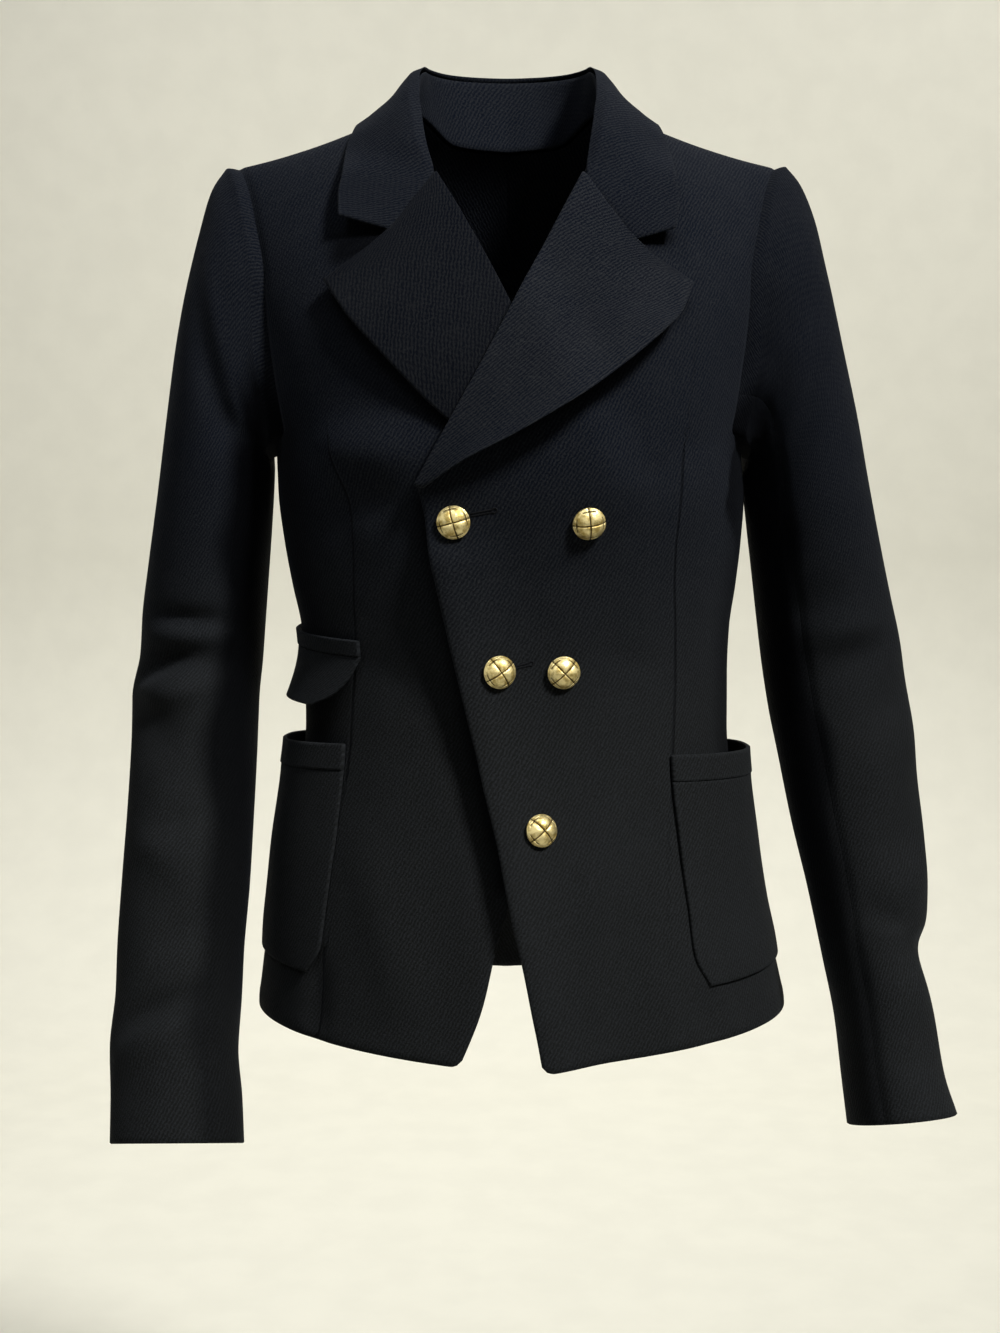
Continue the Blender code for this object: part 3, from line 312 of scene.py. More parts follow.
# Sleeves. Each row is a section: the outermost and innermost points seen from the front,
# where its middle lies front to back, its half depth, and how far the section leans back.
SLEEVE_COLUMNS = "outer_x outer_z inner_x inner_z middle_y half_depth lean"
SLEEVE = {
    LEFT: table(
        SLEEVE_COLUMNS,
        (184.8, -32.5, 160, -225.5, 0, 62, 0),
        (194.8, -43.5, 160.5, -227, 0, 63.5, 0),
        (206, -67.5, 160.8, -229, 0, 64, 0),
        (214.5, -101, 161.2, -232, 0, 63.5, 0),
        (225, -147, 161.8, -238, 0.5, 62, 0),
        (237.3, -198.9, 162.5, -250, 2, 60, 0),
        (244.8, -235.4, 164.5, -270, 4, 58.5, 0),
        (254.3, -277.9, 168.2, -298, 7.5, 56, 0),
        (264, -320, 173, -336, 9.5, 53.5, 2),
        (270.6, -349.2, 176.5, -364, 8.5, 51.5, 5),
        (276.5, -386, 181.2, -396, 4, 49.5, 9),
        (280, -420, 186.8, -427, -6, 48, 14),
        (282.5, -464, 194.5, -470, -20, 46, 18),
        (283.1, -508, 203.1, -510, -35, 44.5, 20),
        (281.5, -540, 209.2, -542, -46, 43.5, 20),
        (278.8, -559, 212.5, -560, -52, 43, 20),
        (283, -593, 218.5, -595, -64, 42.5, 18),
        (287.4, -630, 221.6, -633, -77, 42, 17),
        (294.5, -654.5, 224.2, -662, -86, 42, 16),
    ),
    RIGHT: table(
        SLEEVE_COLUMNS,
        (186.6, -33.8, 159, -225.5, 0, 62, 0),
        (196.8, -47.5, 159.2, -227, 0, 63.5, 0),
        (206.8, -76.5, 159.2, -229, 0, 64, 0),
        (215, -108, 159.2, -232, 0, 63.5, 0),
        (223.2, -149.9, 159.4, -237, 0.5, 62, 0),
        (231, -200.2, 160, -248, 2, 60, 0),
        (238.5, -250, 162.2, -275.1, 5, 58, 0),
        (245.9, -295.1, 164.4, -299, 8, 56, 0),
        (251.4, -332.5, 167.3, -332.5, 9.5, 53.5, 2),
        (253.2, -359.5, 169.7, -363, 8.5, 51.5, 5),
        (258.7, -390, 172, -390, 4, 49.5, 9),
        (258, -422, 172.7, -427, -6, 48, 14),
        (258.8, -464.2, 173.8, -471, -20, 45.5, 18),
        (260.2, -505, 174.8, -510, -34, 43.5, 20),
        (261.4, -551.4, 177.3, -554.5, -50, 41, 20),
        (261.1, -580.1, 177.8, -584, -60, 39.5, 20),
        (263.3, -612.3, 178.9, -614, -71, 38, 20),
        (261.5, -644, 175.2, -645, -82, 36.5, 20),
        (260.7, -673.4, 173.1, -672.8, -91, 35.5, 20),
    ),
}

# Soft troughs pressed into the sleeves, measured on the sleeve: how far along it in rows,
# the angle round, the half length in degrees, the half height in rows, the rise in rows
# over the half length, and the depth. A negative depth is a ridge.
CREASES_COLUMNS = "row angle half_angle half_rows rise depth"
CREASES = {
    LEFT: table(
        CREASES_COLUMNS,
        (9.4, 85, 60, 0.6, 0.2, 3.5),
        (3.6, 178, 60, 1.4, 0, -3),
        (10.6, 60, 55, 0.6, 0.4, 3),
        (15, 20, 60, 0.7, 0.3, 3.5),
        (9.3, 275, 55, 0.6, 0.2, 2.5),
        (2.4, 72, 44, 0.6, -1, 2.6),
        (4.4, 95, 46, 0.6, 0.9, 2.2),
        (7.8, 100, 52, 0.4, 0.2, 2.9),
        (8.6, 80, 48, 0.4, 0.1, -2.2),
        (10, 40, 48, 0.45, 0.35, 2.9),
        (11.7, 30, 42, 0.5, 0.2, 2.9),
        (9.1, 70, 46, 0.35, 0.3, 3.2),
        (12.5, 62, 45, 0.34, 0.35, 3.4),
        (13.2, 55, 55, 0.4, 0.35, -2.4),
        (13.9, 84, 44, 0.34, -0.25, 3),
        (14.5, 25, 50, 0.45, 0.3, 3.2),
        (15.7, 60, 55, 0.4, 0.25, -2.6),
        (16.6, 70, 50, 0.45, 0.2, 1.9),
        (8, 250, 55, 0.4, -0.2, 3.8),
        (10.3, 255, 50, 0.4, 0.25, 3.2),
        (5.6, 265, 50, 0.6, -0.4, 2.6),
    ),
    RIGHT: table(
        CREASES_COLUMNS,
        (9, 95, 75, 0.55, -0.1, 5),
        (9.9, 80, 60, 0.55, 0.3, -3.5),
        (10.6, 60, 55, 0.5, 0.35, 4),
        (16.9, 60, 60, 0.6, -0.4, 2.6),
        (9.2, 270, 60, 0.6, 0.2, 2.5),
        (8.05, 88, 62, 0.22, 0.1, 6),
        (8.55, 84, 60, 0.3, 0.05, -4),
        (9.35, 60, 50, 0.24, -0.45, 6.2),
        (9.95, 84, 55, 0.34, -0.3, -4),
        (11.05, 60, 50, 0.4, 0.15, 2.5),
        (11.7, 105, 40, 0.3, -0.1, 2.2),
        (3.5, 84, 56, 0.8, 0.95, 6.5),
        (2.3, 60, 44, 0.6, 0.8, -2.5),
        (4.2, 100, 40, 0.6, -1.2, 2.5),
        (13.4, 80, 60, 0.45, 0.3, 2.2),
        (12.2, 92, 38, 0.26, -0.3, 4),
        (12.8, 72, 44, 0.3, 0.3, -3),
        (13.9, 96, 40, 0.3, -0.35, 3.6),
        (15.4, 78, 66, 0.3, -0.55, 6.2),
        (16, 74, 60, 0.36, -0.5, -3.4),
        (5.8, 255, 50, 0.6, 0.4, 3.2),
        (8.3, 250, 60, 0.35, -0.2, 4.7),
        (9.9, 245, 50, 0.35, 0.2, 4),
        (13, 290, 60, 0.6, 0.3, 2.5),
    ),
}

# Patch pockets, with a band along the mouth. Each row gives the front edge seen from the
# front, the back edge as degrees round the form with its height, and the fullness there.
POCKET = table(
    "front_x front_z back_turn back_z full",
    (129, -566, 112, -560, 0),
    (119, -546, 116, -547, 0.16),
    (115, -516, 117, -519, 0.36),
    (110.5, -485, 117, -490, 0.6),
    (107, -456, 117, -462, 0.82),
    (104.5, -434.5, 117, -440.8, 0.95),
)
BAND = table(
    "front_x front_z back_turn back_z full",
    (104.5, -434.2, 117, -440.5, 0.95),
    (103.5, -418, 117, -424, 1),
)
POCKET_SHAPE = table(
    "across swell",
    (0, 0),
    (0.1, 0.26),
    (0.24, 0.6),
    (0.4, 0.9),
    (0.56, 1),
    (0.7, 0.88),
    (0.84, 0.5),
    (0.94, 0.18),
    (1, 0),
)
BAND_WALL = 0.0028

# Ticket pocket above the wearer's right pocket: a welt, and a flap that stands off below.
WELT = table(
    "front_z back_z",
    (-353.5, -349),
    (-344, -339.5),
)
FLAP = table(
    "front_share front_z back_z kick",
    (0, -354.2, -349.6, 0),
    (0.02, -360, -357, 1.2),
    (0.06, -369, -367, 3.6),
    (0.14, -379, -377, 6.8),
    (0.3, -387, -385, 9.8),
)

# Buttons: place seen from the front, and the turn of the crossed strands.
BUTTONS = table(
    "x z spin",
    (-31.7, -266.5, 18),
    (47.9, -266.8, 6),
    (-5, -360.8, 35),
    (33.9, -361.6, 45),
    (19.3, -460.7, 45),
)
# Both ends of the buttonholes beside buttons 1 and 3, seen from the front.
BUTTONHOLES = {
    1: ((-0.0217, -0.2620), (-0.0090, -0.2594)),
    3: ((0.0040, -0.3586), (0.0130, -0.3562)),
}

# Sewing that shows on the fronts, seen from the front: the long dart of each, and on the
# wearer's right its lower end, below the pocket.
DARTS = {
    LEFT: (
        path(
            (110.5, -222.4), (108.6, -242.4), (105.4, -281.9), (106.4, -337),
            (107, -374), (105.5, -420), (105, -438),
        ),
    ),
    RIGHT: (
        path(
            (-109.1, -214.3), (-101.3, -251.1), (-97.8, -281.9), (-97.4, -316),
            (-96.9, -340.2), (-101, -411.2), (-104, -435),
        ),
        path((-118, -543), (-119.4, -548), (-123.5, -602)),
    ),
}

# Soft folds of the body, seen from the front or from the back: both ends, the half width
# and the depth. A negative depth is a ridge.
FRONT_FOLDS = table(
    "x1 z1 x2 z2 half depth",
    (-130, -220, -45, -224, 17, -6),
    (-128, -256, -50, -260, 14, 3.2),
    (-135, -230, -90, -305, 12, 1.8),
    (-100, -350, -55, -375, 12, 1.5),
    (-95, -460, -65, -590, 15, -2.4),
    (-50, -440, -40, -590, 17, 1.9),
    (130, -210, 80, -245, 12, 1.8),
    (135, -250, 100, -330, 12, 1.5),
    (100, -360, 50, -350, 11, 1.5),
    (95, -430, 70, -595, 16, 2.3),
    (50, -450, 50, -595, 17, -1.8),
    (123, -470, 133, -590, 9, -2.1),
    (62, -260, 35, -320, 18, 1.2),
    (-120.5, -542, -125.5, -615, 7.5, 3.2),
    (124, -560, 133, -615, 8.5, 2.2),
)
BACK_FOLDS = table(
    "x1 z1 x2 z2 half depth",
    (-125, -350, -40, -370, 12, 2.2),
    (-130, -385, -60, -390, 11, 1.7),
    (130, -355, 30, -368, 13, 2.4),
    (125, -395, 70, -388, 11, 1.5),
    (90, -450, 105, -590, 18, 3.1),
    (-85, -455, -110, -590, 18, 2.9),
    (-50, -470, -56, -600, 16, -2),
    (45, -465, 50, -600, 16, -2.1),
    (-130, -150, -70, -100, 14, 1.8),
    (132, -160, 75, -105, 14, 2),
)
FOLD_REACH = 1.2  # a fold fades out a tenth of its length past its ends

# Bands of painted shade where the fronts lie in the shadow of a lapel, the collar or the lap,
# seen from the front: both ends, the half width, and how deep the painted shade is from 0 to 1.
PAINTED_SHADE_COLUMNS = "x1 z1 x2 z2 half share"
PAINTED_SHADE_BANDS = {
    LEFT: table(
        PAINTED_SHADE_COLUMNS,
        (1, -214, 28.8, -196.8, 5, 0.7),
        (28.8, -196.8, 63.8, -172.5, 5.8, 0.8),
        (63.8, -172.5, 91.2, -149.5, 6.4, 0.85),
        (91.2, -149.5, 106, -131, 5.8, 0.85),
        (82.6, -92.1, 97.9, -89.1, 5.5, 1),
    ),
    RIGHT: table(
        PAINTED_SHADE_COLUMNS,
        (-24, -212, -44, -195.5, 6, 0.8),
        (-44, -195.5, -72, -165, 8.5, 0.85),
        (-72, -165, -93, -142, 11, 0.85),
        (-93, -142, -104, -129, 11, 0.8),
        (-79, -86.8, -103.4, -95, 9.5, 1),
        (-85, -96.5, -105, -101, 7.5, 1),
        (-51, -256, -1.5, -496, 7.8, 0.9),
    ),
}
# Painted shade the same way under the wearer's left arm, outside this line on the front.
UNDERARM_SHADE_LINE = path(
    (155.7, -184.2), (148.6, -210.9), (142.8, -227.6),
    (139.5, -258.4), (143.4, -269.3), (147.9, -279),
)
UNDERARM_SOFT, UNDERARM_REACH = 0.0016, 0.03
# Painted shade darkens the sides of the body over these turns, from the pockets up to the armpits.
SIDE_PAINTED_SHADE = {LEFT: (56.0, 80.0), RIGHT: (46.0, 67.0)}
SHADE_FOOT_Z, SHADE_FOOT_FADE = -0.58, 0.16
SHADE_TOP_Z, SHADE_TOP_FADE = -0.16, 0.06
LAPEL_PAINTED_SHADE = {LEFT: 0.0, RIGHT: 0.50}  # painted shade on the wearer's right lapel, which turns away from the room
# Painted shade darkens the inner side of a sleeve over these angles, and half as much towards the cuff.
ARM_PAINTED_SHADE = {LEFT: (104.0, 130.0), RIGHT: (103.0, 128.0)}
SHADE_WANDER = ((5, 1.3, 0), (3, 2.9, 1))  # degrees, pace along the rows, and start
FADE_FROM, FADE_ROWS = 10, 7
ARM_LEAST_PAINTED_SHADE = {LEFT: 0.28, RIGHT: 0.0}  # the least painted shade over the upper part of a sleeve
LEAST_FROM, LEAST_ROWS = 11, 5

# Edges of the cloth.
RIM_OUT = 0.0007  # how far the rounded rim of a sheet stands past its faces
SEWN_DIP, SEWN_HALF = 0.0011, 0.0042  # cloth pulled in along a sewn edge
FREE_SWELL, FREE_HALF = 0.0005, 0.0060  # cloth swollen by the turnings along a free edge

# Weave.
TWILL_LEAN = 0.56  # rise of the ribs over their run
SLUB_SCALE = (60.0, 900.0, 1.0)  # draws the noise out along the yarn
PRESSED_PALE_LIT = (0.0450, 0.0475, 0.0510, 1.0)  # raised yarn of the lapels, paler than the wool's, partly as painted light so that the lapels read lighter


def slopes(xs: Array, ys: Array) -> Array:
    """Slopes of a smooth line through the points that doesn't overshoot.

    Args:
        xs: places along the line, rising.
        ys: its value at each.

    Returns:
        A slope for each place.
    """
    rates = np.diff(ys) / np.diff(xs)
    inner = np.zeros(len(xs) - 2)
    same = rates[1:] * rates[:-1] > 0
    inner[same] = 2 / (1 / rates[1:][same] + 1 / rates[:-1][same])
    return np.concatenate([[rates[0]], inner, [rates[-1]]])


def smooth(xs: Array, ys: Array, at: Array) -> Array:
    """The smooth line through the points, flat past its ends.

    Args:
        xs: places of the known points, rising.
        ys: their values.
        at: places where the line is wanted.

    Returns:
        A value for each wanted place.
    """
    at = np.clip(np.asarray(at, float), xs[0], xs[-1])
    k = np.clip(np.searchsorted(xs, at, side="right") - 1, 0, len(xs) - 2)
    width = xs[k + 1] - xs[k]
    u = (at - xs[k]) / width
    tilt = slopes(xs, ys)
    return (
        (2 * u**3 - 3 * u**2 + 1) * ys[k]
        + (u**3 - 2 * u**2 + u) * width * tilt[k]
        + (3 * u**2 - 2 * u**3) * ys[k + 1]
        + (u**3 - u**2) * width * tilt[k + 1]
    )


def curve(values: Array, at: Array, corners: tuple = ()) -> Array:
    """Table rows at fractional row numbers.

    Args:
        values: one value or one point for each row of a table.
        at: row numbers, which may lie between rows.
        corners: rows where the line may turn sharply.

    Returns:
        A value or a point for each row number.
    """
    if values.ndim == 1:
        return curve(values[:, None], at, corners)[..., 0]
    cuts = [0, *corners, len(values) - 1]
    found = np.empty(at.shape + (values.shape[1],))
    for first, last in zip(cuts, cuts[1:]):
        inside = (at >= first) & (at <= last)
        known = np.arange(first, last + 1, dtype=float)
        for k in range(values.shape[1]):
            found[inside, k] = smooth(known, values[first : last + 1, k], at[inside])
    return found


def fine_rows(last: int, each: int = FINE_PER_ROW) -> Array:
    """Fractional row numbers from 0 to the last row, this many between two rows."""
    return np.linspace(0.0, last, last * each + 1)


def pairs(first: Array, second: Array) -> Array:
    """The two arrays side by side, as pairs along a new last axis."""
    return np.stack(np.broadcast_arrays(first, second), axis=-1)


def ease(share: Array) -> Array:
    """Smooth step from 0 to 1."""
    share = np.clip(share, 0.0, 1.0)
    return share * share * (3 - 2 * share)


def hill(distance: Array, half: float) -> Array:
    """1 at no distance, falling smoothly away over about twice the half width."""
    return np.exp(-((distance / half) ** 2))


def close_ends(count: int) -> Array:
    """Shares from 0 to 1, closer together near both ends."""
    even = np.linspace(0.0, 1.0, count)
    return EVEN_PART * even + (1 - EVEN_PART) * (1 - np.cos(math.pi * even)) / 2


def unit(vectors: Array) -> Array:
    """The vectors at length 1."""
    return vectors / np.maximum(np.linalg.norm(vectors, axis=-1, keepdims=True), TINY)


def run_along(points: Array, axis: int) -> Array:
    """Distance travelled over a grid of points along one of its axes."""
    steps = np.linalg.norm(np.diff(points, axis=axis), axis=-1)
    start = np.zeros_like(np.take(steps, [0], axis=axis))
    return np.cumsum(np.concatenate([start, steps], axis=axis), axis=axis)


def from_outer_line(angles: Array) -> Array:
    """How far round these angles are from 0 either way, in degrees."""
    return np.abs((angles + 180) % 360 - 180)


def line_distance(x: Array, z: Array, lines: tuple) -> Array:
    """Distance from each place to the nearest of some lines.

    Args:
        x: places' distance to the wearer's left.
        z: their height.
        lines: the lines, each a row of points.

    Returns:
        The distances, below 0 on one side of the line.
    """
    best = np.full(np.shape(x), 1.0)
    signed = np.full(np.shape(x), 1.0)
    for a, b in [pair for line in lines for pair in zip(line, line[1:])]:
        way = b - a
        share = np.clip(((x - a[0]) * way[0] + (z - a[1]) * way[1]) / (way @ way), 0.0, 1.0)
        dx, dz = x - a[0] - share * way[0], z - a[1] - share * way[1]
        distance = np.hypot(dx, dz)
        sign = np.where(dx * way[1] - dz * way[0] < 0, -1.0, 1.0)
        nearer = distance < best
        best = np.where(nearer, distance, best)
        signed = np.where(nearer, distance * sign, signed)
    return signed


def fold_push(x: Array, z: Array, folds: dict) -> Array:
    """How far the folds of the body press the cloth in.

    Args:
        x: places' distance to the wearer's left.
        z: their height.
        folds: FRONT_FOLDS or BACK_FOLDS.

    Returns:
        A depth for each place.
    """
    total = np.zeros(np.shape(x))
    for x1, z1, x2, z2, half, depth in rows_of(folds):
        way = np.array([x2 - x1, z2 - z1])
        share = ((x - x1) * way[0] + (z - z1) * way[1]) / (way @ way)
        aside = ((x - x1) * way[1] - (z - z1) * way[0]) / np.linalg.norm(way)
        total += depth * ease(FOLD_REACH - 2 * np.abs(share - 0.5)) * hill(aside, half)
    return total


def painted_shade_share(x: Array, z: Array, shade_bands: dict) -> Array:
    """How much painted shade darkens each place on a front, for the shadow of what lies over it.

    Args:
        x: places' distance to the wearer's left.
        z: their height.
        shade_bands: the front's own table of painted shade.

    Returns:
        A share from 0 to 1 for each place.
    """
    deepest = np.zeros(np.shape(x))
    for x1, z1, x2, z2, half, share in rows_of(shade_bands):
        line = np.array([[x1, z1], [x2, z2]])
        deepest = np.maximum(deepest, share * hill(line_distance(x, z, (line,)), half))
    return deepest


@dataclass
class DressForm:
    """The form that the body's cloth lies on, given by sections.

    A place on it has a turn, the angle round from centre front, and a climb, the distance
    up it from the start of the shoulder slope.
    """

    sections: dict
    ridge: dict
    lap: dict
    lap_ease: float = 0.040  # over which the lift settles past the hidden edge
    edge_stand: float = 0.0125  # of the free edge
    edge_half: float = 0.028
    edge_line_z: tuple = (-0.612, -0.2442)
    edge_line_x: tuple = (0.0218, -0.0526)
    edge_from: float = -0.258  # height where its stand-off starts, downwards
    edge_full: float = -0.298

    def size(self, name: str, height: Array) -> Array:
        """One measure of the form at a nominal height."""
        return smooth(self.sections["height"], self.sections[name], height)

    def ridge_height(self, x: Array) -> Array:
        """Height of the shoulder line this far from the middle."""
        return smooth(self.ridge["out"], self.ridge["height"], np.abs(x))

    def point(self, turn: Array, climb: Array, off: Array) -> Array:
        """Points at a distance off the form.

        Args:
            turn: angle round from centre front.
            climb: distance up from the start of the shoulder slope.
            off: distance off the form.

        Returns:
            An array of points, with one more axis than the places.
        """
        turn, climb, off = np.broadcast_arrays(turn, climb, off)
        bend = np.clip(climb / -SLOPE_START, 0.0, math.pi / 2)
        share = np.sin(bend)
        height = np.where(climb < 0, SLOPE_START + climb, SLOPE_START * (1 - share))
        power = 2 / self.size("square", height)
        width = self.size("half_width", height) + off
        ahead, behind = self.size("front", height), self.size("behind", height)
        depth = np.where(np.cos(turn) > 0, ahead, behind)
        sine, cosine = np.sin(turn), np.cos(turn)
        x = self.size("shift", height) + width * np.sign(sine) * np.abs(sine) ** power
        y = -(depth + off) * np.sign(cosine) * np.abs(cosine) ** power * np.cos(bend)
        lifted = SLOPE_START + (self.ridge_height(x) + off - SLOPE_START) * share
        return np.stack([x, y, np.where(climb < 0, height, lifted)], axis=-1)

    def at(self, spots: Array, off: Array) -> Array:
        """Points at a distance off the form, at pairs of a turn and a climb."""
        return self.point(spots[..., 0], spots[..., 1], off)

    def place(self, x: Array, z: Array, side: Side, behind: bool = False) -> Array:
        """Turn and climb of the places seen at x, z square from the front or the back.

        Args:
            x: distance to the wearer's left. NaN is the side seam.
            z: height. NaN is the shoulder line.
            side: which side seam is meant.
            behind: whether the places are on the back.

        Returns:
            A pair for each place.
        """
        x, z = np.broadcast_arrays(np.asarray(x, float), np.asarray(z, float))
        share = (z - SLOPE_START) / (self.ridge_height(x) - SLOPE_START)
        share = np.where(np.isnan(z), 1.0, share)
        height = np.where(share <= 0, z, SLOPE_START * (1 - share))
        across = (x - self.size("shift", height)) / self.size("half_width", height)
        power = self.size("square", height) / 2
        turn = np.sign(across) * np.arcsin(np.minimum(np.abs(across), 1.0) ** power)
        rise = -SLOPE_START * np.arcsin(np.clip(share, 0.0, 1.0))
        climb = np.where(share <= 0, z - SLOPE_START, rise)
        turn = side.value * math.pi - turn if behind else turn
        at_seam = np.isnan(x)
        turn = np.where(at_seam, side.value * math.pi / 2, turn)
        return pairs(turn, np.where(at_seam, z - SLOPE_START, climb))

    def raised(self, spot: Array, side: Side, low: Array, high: Array) -> Array:
        """Points that stand off further, but look the same seen square from the front.

        Args:
            spot: x and z of places on the form.
            side: which side seam is meant.
            low: the distance off the form at which they are seen.
            high: the distance off the form that they are given.

        Returns:
            A point for each place.
        """
        found = self.place(spot[..., 0], spot[..., 1], side)
        spot = spot + (self.at(found, low) - self.at(found, high))[..., [0, 2]]
        return self.at(self.place(spot[..., 0], spot[..., 1], side), high)

    def lap_lift(self, x: Array, z: Array) -> Array:
        """How far the overlapping front stands off for what lies beneath it.

        Args:
            x: places' distance to the wearer's left.
            z: their height.

        Returns:
            A distance for each place.
        """
        heights = self.lap["height"]
        hidden, lift = (np.interp(z, heights, self.lap[k]) for k in ("hidden_edge", "lift"))
        from_edge = np.maximum(x - np.interp(z, self.edge_line_z, self.edge_line_x), 0.0)
        share = ease((self.edge_from - z) / (self.edge_from - self.edge_full))
        lift = lift * ease((hidden + self.lap_ease - x) / self.lap_ease)
        return lift + self.edge_stand * hill(from_edge, self.edge_half) * share

    def front_surface(self, x: float, z: float) -> Array:
        """Point on the outer face of the overlapping front, seen square from the front."""
        push = fold_push(np.array(x), np.array(z), FRONT_FOLDS)
        return self.at(self.place(x, z, LEFT), self.lap_lift(x, z) + WALL - push)


class Graph:
    """Adds and joins the shader nodes of one tree."""

    def __init__(self, tree: NodeTree) -> None:
        """Works in this tree, and clears it first."""
        self.tree = tree
        tree.nodes.clear()

    def add(self, kind: str, inputs: dict | None = None, **settings: object) -> bpy.types.Node:
        """Adds a node.

        Args:
            kind: the node's type.
            inputs: a value or a socket to join for each input's name or number.
            **settings: the node's own settings.

        Returns:
            The node.
        """
        node = self.tree.nodes.new(kind)
        for name, value in settings.items():
            setattr(node, name, value)
        for name, value in (inputs or {}).items():
            if isinstance(value, Socket):
                self.tree.links.new(value, node.inputs[name])
            else:
                node.inputs[name].default_value = value
        return node

    def group(self, tree: NodeTree, **inputs: object) -> bpy.types.bpy_prop_collection:
        """The outputs of a node group that has these inputs."""
        return self.add("ShaderNodeGroup", inputs, node_tree=tree).outputs

    def math(self, how: str, *values: object) -> Socket:
        """The result of a Math node."""
        return self.add("ShaderNodeMath", dict(enumerate(values)), operation=how).outputs[0]

    def times(self, value: Socket, factor: object) -> Socket:
        """The product of two values."""
        return self.math("MULTIPLY", value, factor)

    def plus(self, first: Socket, second: Socket) -> Socket:
        """The sum of two values."""
        return self.math("ADD", first, second)

    def noise(self, vector: Socket, scale: float, detail: float = 2.0) -> Socket:
        """A noise value from 0 to 1."""
        inputs = {"Vector": vector, "Scale": scale, "Detail": detail}
        return self.add("ShaderNodeTexNoise", inputs).outputs[0]

    def remap(self, value: Socket, low: float, high: float, to: tuple = (0.0, 1.0)) -> Socket:
        """The value moved from low and high to new ends, smoothly, and held there."""
        inputs = {"Value": value, 1: low, 2: high, 3: to[0], 4: to[1]}
        return self.add("ShaderNodeMapRange", inputs, interpolation_type="SMOOTHSTEP").outputs[0]

    def mix(self, share: object, first: object, second: object) -> Socket:
        """A mix of two colours."""
        return self.add("ShaderNodeMix", {0: share, 6: first, 7: second}, data_type="RGBA").outputs[2]

    def stored(self, name: str) -> Socket:
        """A number stored at the vertices."""
        return self.add("ShaderNodeAttribute", attribute_name=name).outputs["Fac"]

    def solid_place(self) -> Socket:
        """The place in the piece's own space."""
        return self.add("ShaderNodeTexCoord").outputs["Object"]

    def bump(self, strength: float, distance: float, height: Socket, **under: Socket) -> Socket:
        """A normal from a height, over the normal in "Normal" where that is given."""
        inputs = {"Strength": strength, "Distance": distance, "Height": height, **under}
        return self.add("ShaderNodeBump", inputs).outputs[0]


class EffectGroup(Graph):
    """A shader node group with named sockets."""

    def __init__(self, name: str, inputs: dict, outputs: tuple) -> None:
        """Makes the group.

        Args:
            name: the group's name.
            inputs: the socket type of each input.
            outputs: the name of each output, which is a number.
        """
        tree = bpy.data.node_groups.new(name, "ShaderNodeTree")
        for key, kind in inputs.items():
            tree.interface.new_socket(key, in_out="INPUT", socket_type=kind)
        for key in outputs:
            tree.interface.new_socket(key, in_out="OUTPUT", socket_type=FLOAT)
        super().__init__(tree)
        self.given = self.add("NodeGroupInput").outputs

    def finish(self, **made: Socket) -> NodeTree:
        """Joins each output, and returns the group's tree."""
        self.add("NodeGroupOutput", made)
        return self.tree


def twill_group() -> NodeTree:
    """Diagonal twill ribs, broken up by the yarn's own unevenness."""
    group = EffectGroup("twill_weave", {"Place": VECTOR, "Pitch": FLOAT}, ("Height", "Slub"))
    place, pitch = group.given["Place"], group.given["Pitch"]
    parts = group.add("ShaderNodeSeparateXYZ", {0: place}).outputs
    lean = group.math("SUBTRACT", parts[0], group.times(parts[1], TWILL_LEAN))
    along = group.plus(parts[1], group.times(parts[0], TWILL_LEAN))
    wobble = group.times(group.noise(place, 260.0, 3.0), 1.5)
    rib = group.plus(group.math("DIVIDE", lean, pitch), wobble)
    wave = group.math("SINE", group.times(rib, 2 * math.pi))
    wave = group.times(wave, group.remap(group.noise(place, 420.0), 0.30, 0.62, (0.25, 1.35)))
    yarn = group.math("SINE", group.times(group.math("DIVIDE", along, pitch), 1.5 * math.pi))
    fuzz = group.times(group.math("SUBTRACT", group.noise(place, 1100.0), 0.5), 4.0)
    height = group.plus(group.plus(wave, group.times(yarn, 0.30)), fuzz)
    drawn = group.add("ShaderNodeVectorMath", {0: place, 1: SLUB_SCALE}, operation="MULTIPLY")
    return group.finish(Height=height, Slub=group.noise(drawn.outputs[0], 1.0))


def groove_group() -> NodeTree:
    """The groove of a seam and the small swell of its turnings, from the distance to it."""
    group = EffectGroup("seam_groove", {"Distance": FLOAT}, ("Height", "Shade"))
    away = group.math("ABSOLUTE", group.given["Distance"])
    shade = group.remap(away, 0.0003, 0.0014, (1.0, 0.0))
    swell = group.remap(away, 0.0012, 0.0065, (0.35, 0.0))
    height = group.math("SUBTRACT", swell, group.times(shade, 1.4))
    return group.finish(Height=height, Shade=shade)


def wear_and_highlight_group() -> NodeTree:
    """Uneven tone, edges paler from being worn and from a painted highlight, and a little lint."""
    group = EffectGroup("cloth_wear_and_highlight", {"Place": VECTOR, "Edge": FLOAT}, ("Tone", "Rubbed", "Lint"))
    place = group.given["Place"]
    tone = group.plus(group.noise(place, 9.0, 4.0), group.times(group.noise(place, 70.0), 0.35))
    # edges paler from being worn, and partly a painted highlight along them
    near = group.remap(group.given["Edge"], 0.0, 0.0034, (1.0, 0.0))
    rubbed = group.times(near, group.remap(group.noise(place, 160.0), 0.35, 0.70))
    lint = group.remap(group.noise(place, 900.0, 1.0), 0.755, 0.80)
    return group.finish(Tone=tone, Rubbed=rubbed, Lint=lint)


class Finish:
    """What every finish here has in common: one Principled shader with its own inputs."""

    name: str

    def inputs(self, graph: Graph) -> dict:
        """The shader's inputs, which each finish works out in its own way."""
        raise NotImplementedError

    def material(self) -> Material:
        """Builds the material."""
        made = bpy.data.materials.new(self.name)
        made.use_nodes = True
        graph = Graph(made.node_tree)
        shader = graph.add("ShaderNodeBsdfPrincipled", self.inputs(graph))
        graph.add("ShaderNodeOutputMaterial", {0: shader.outputs[0]})
        return made


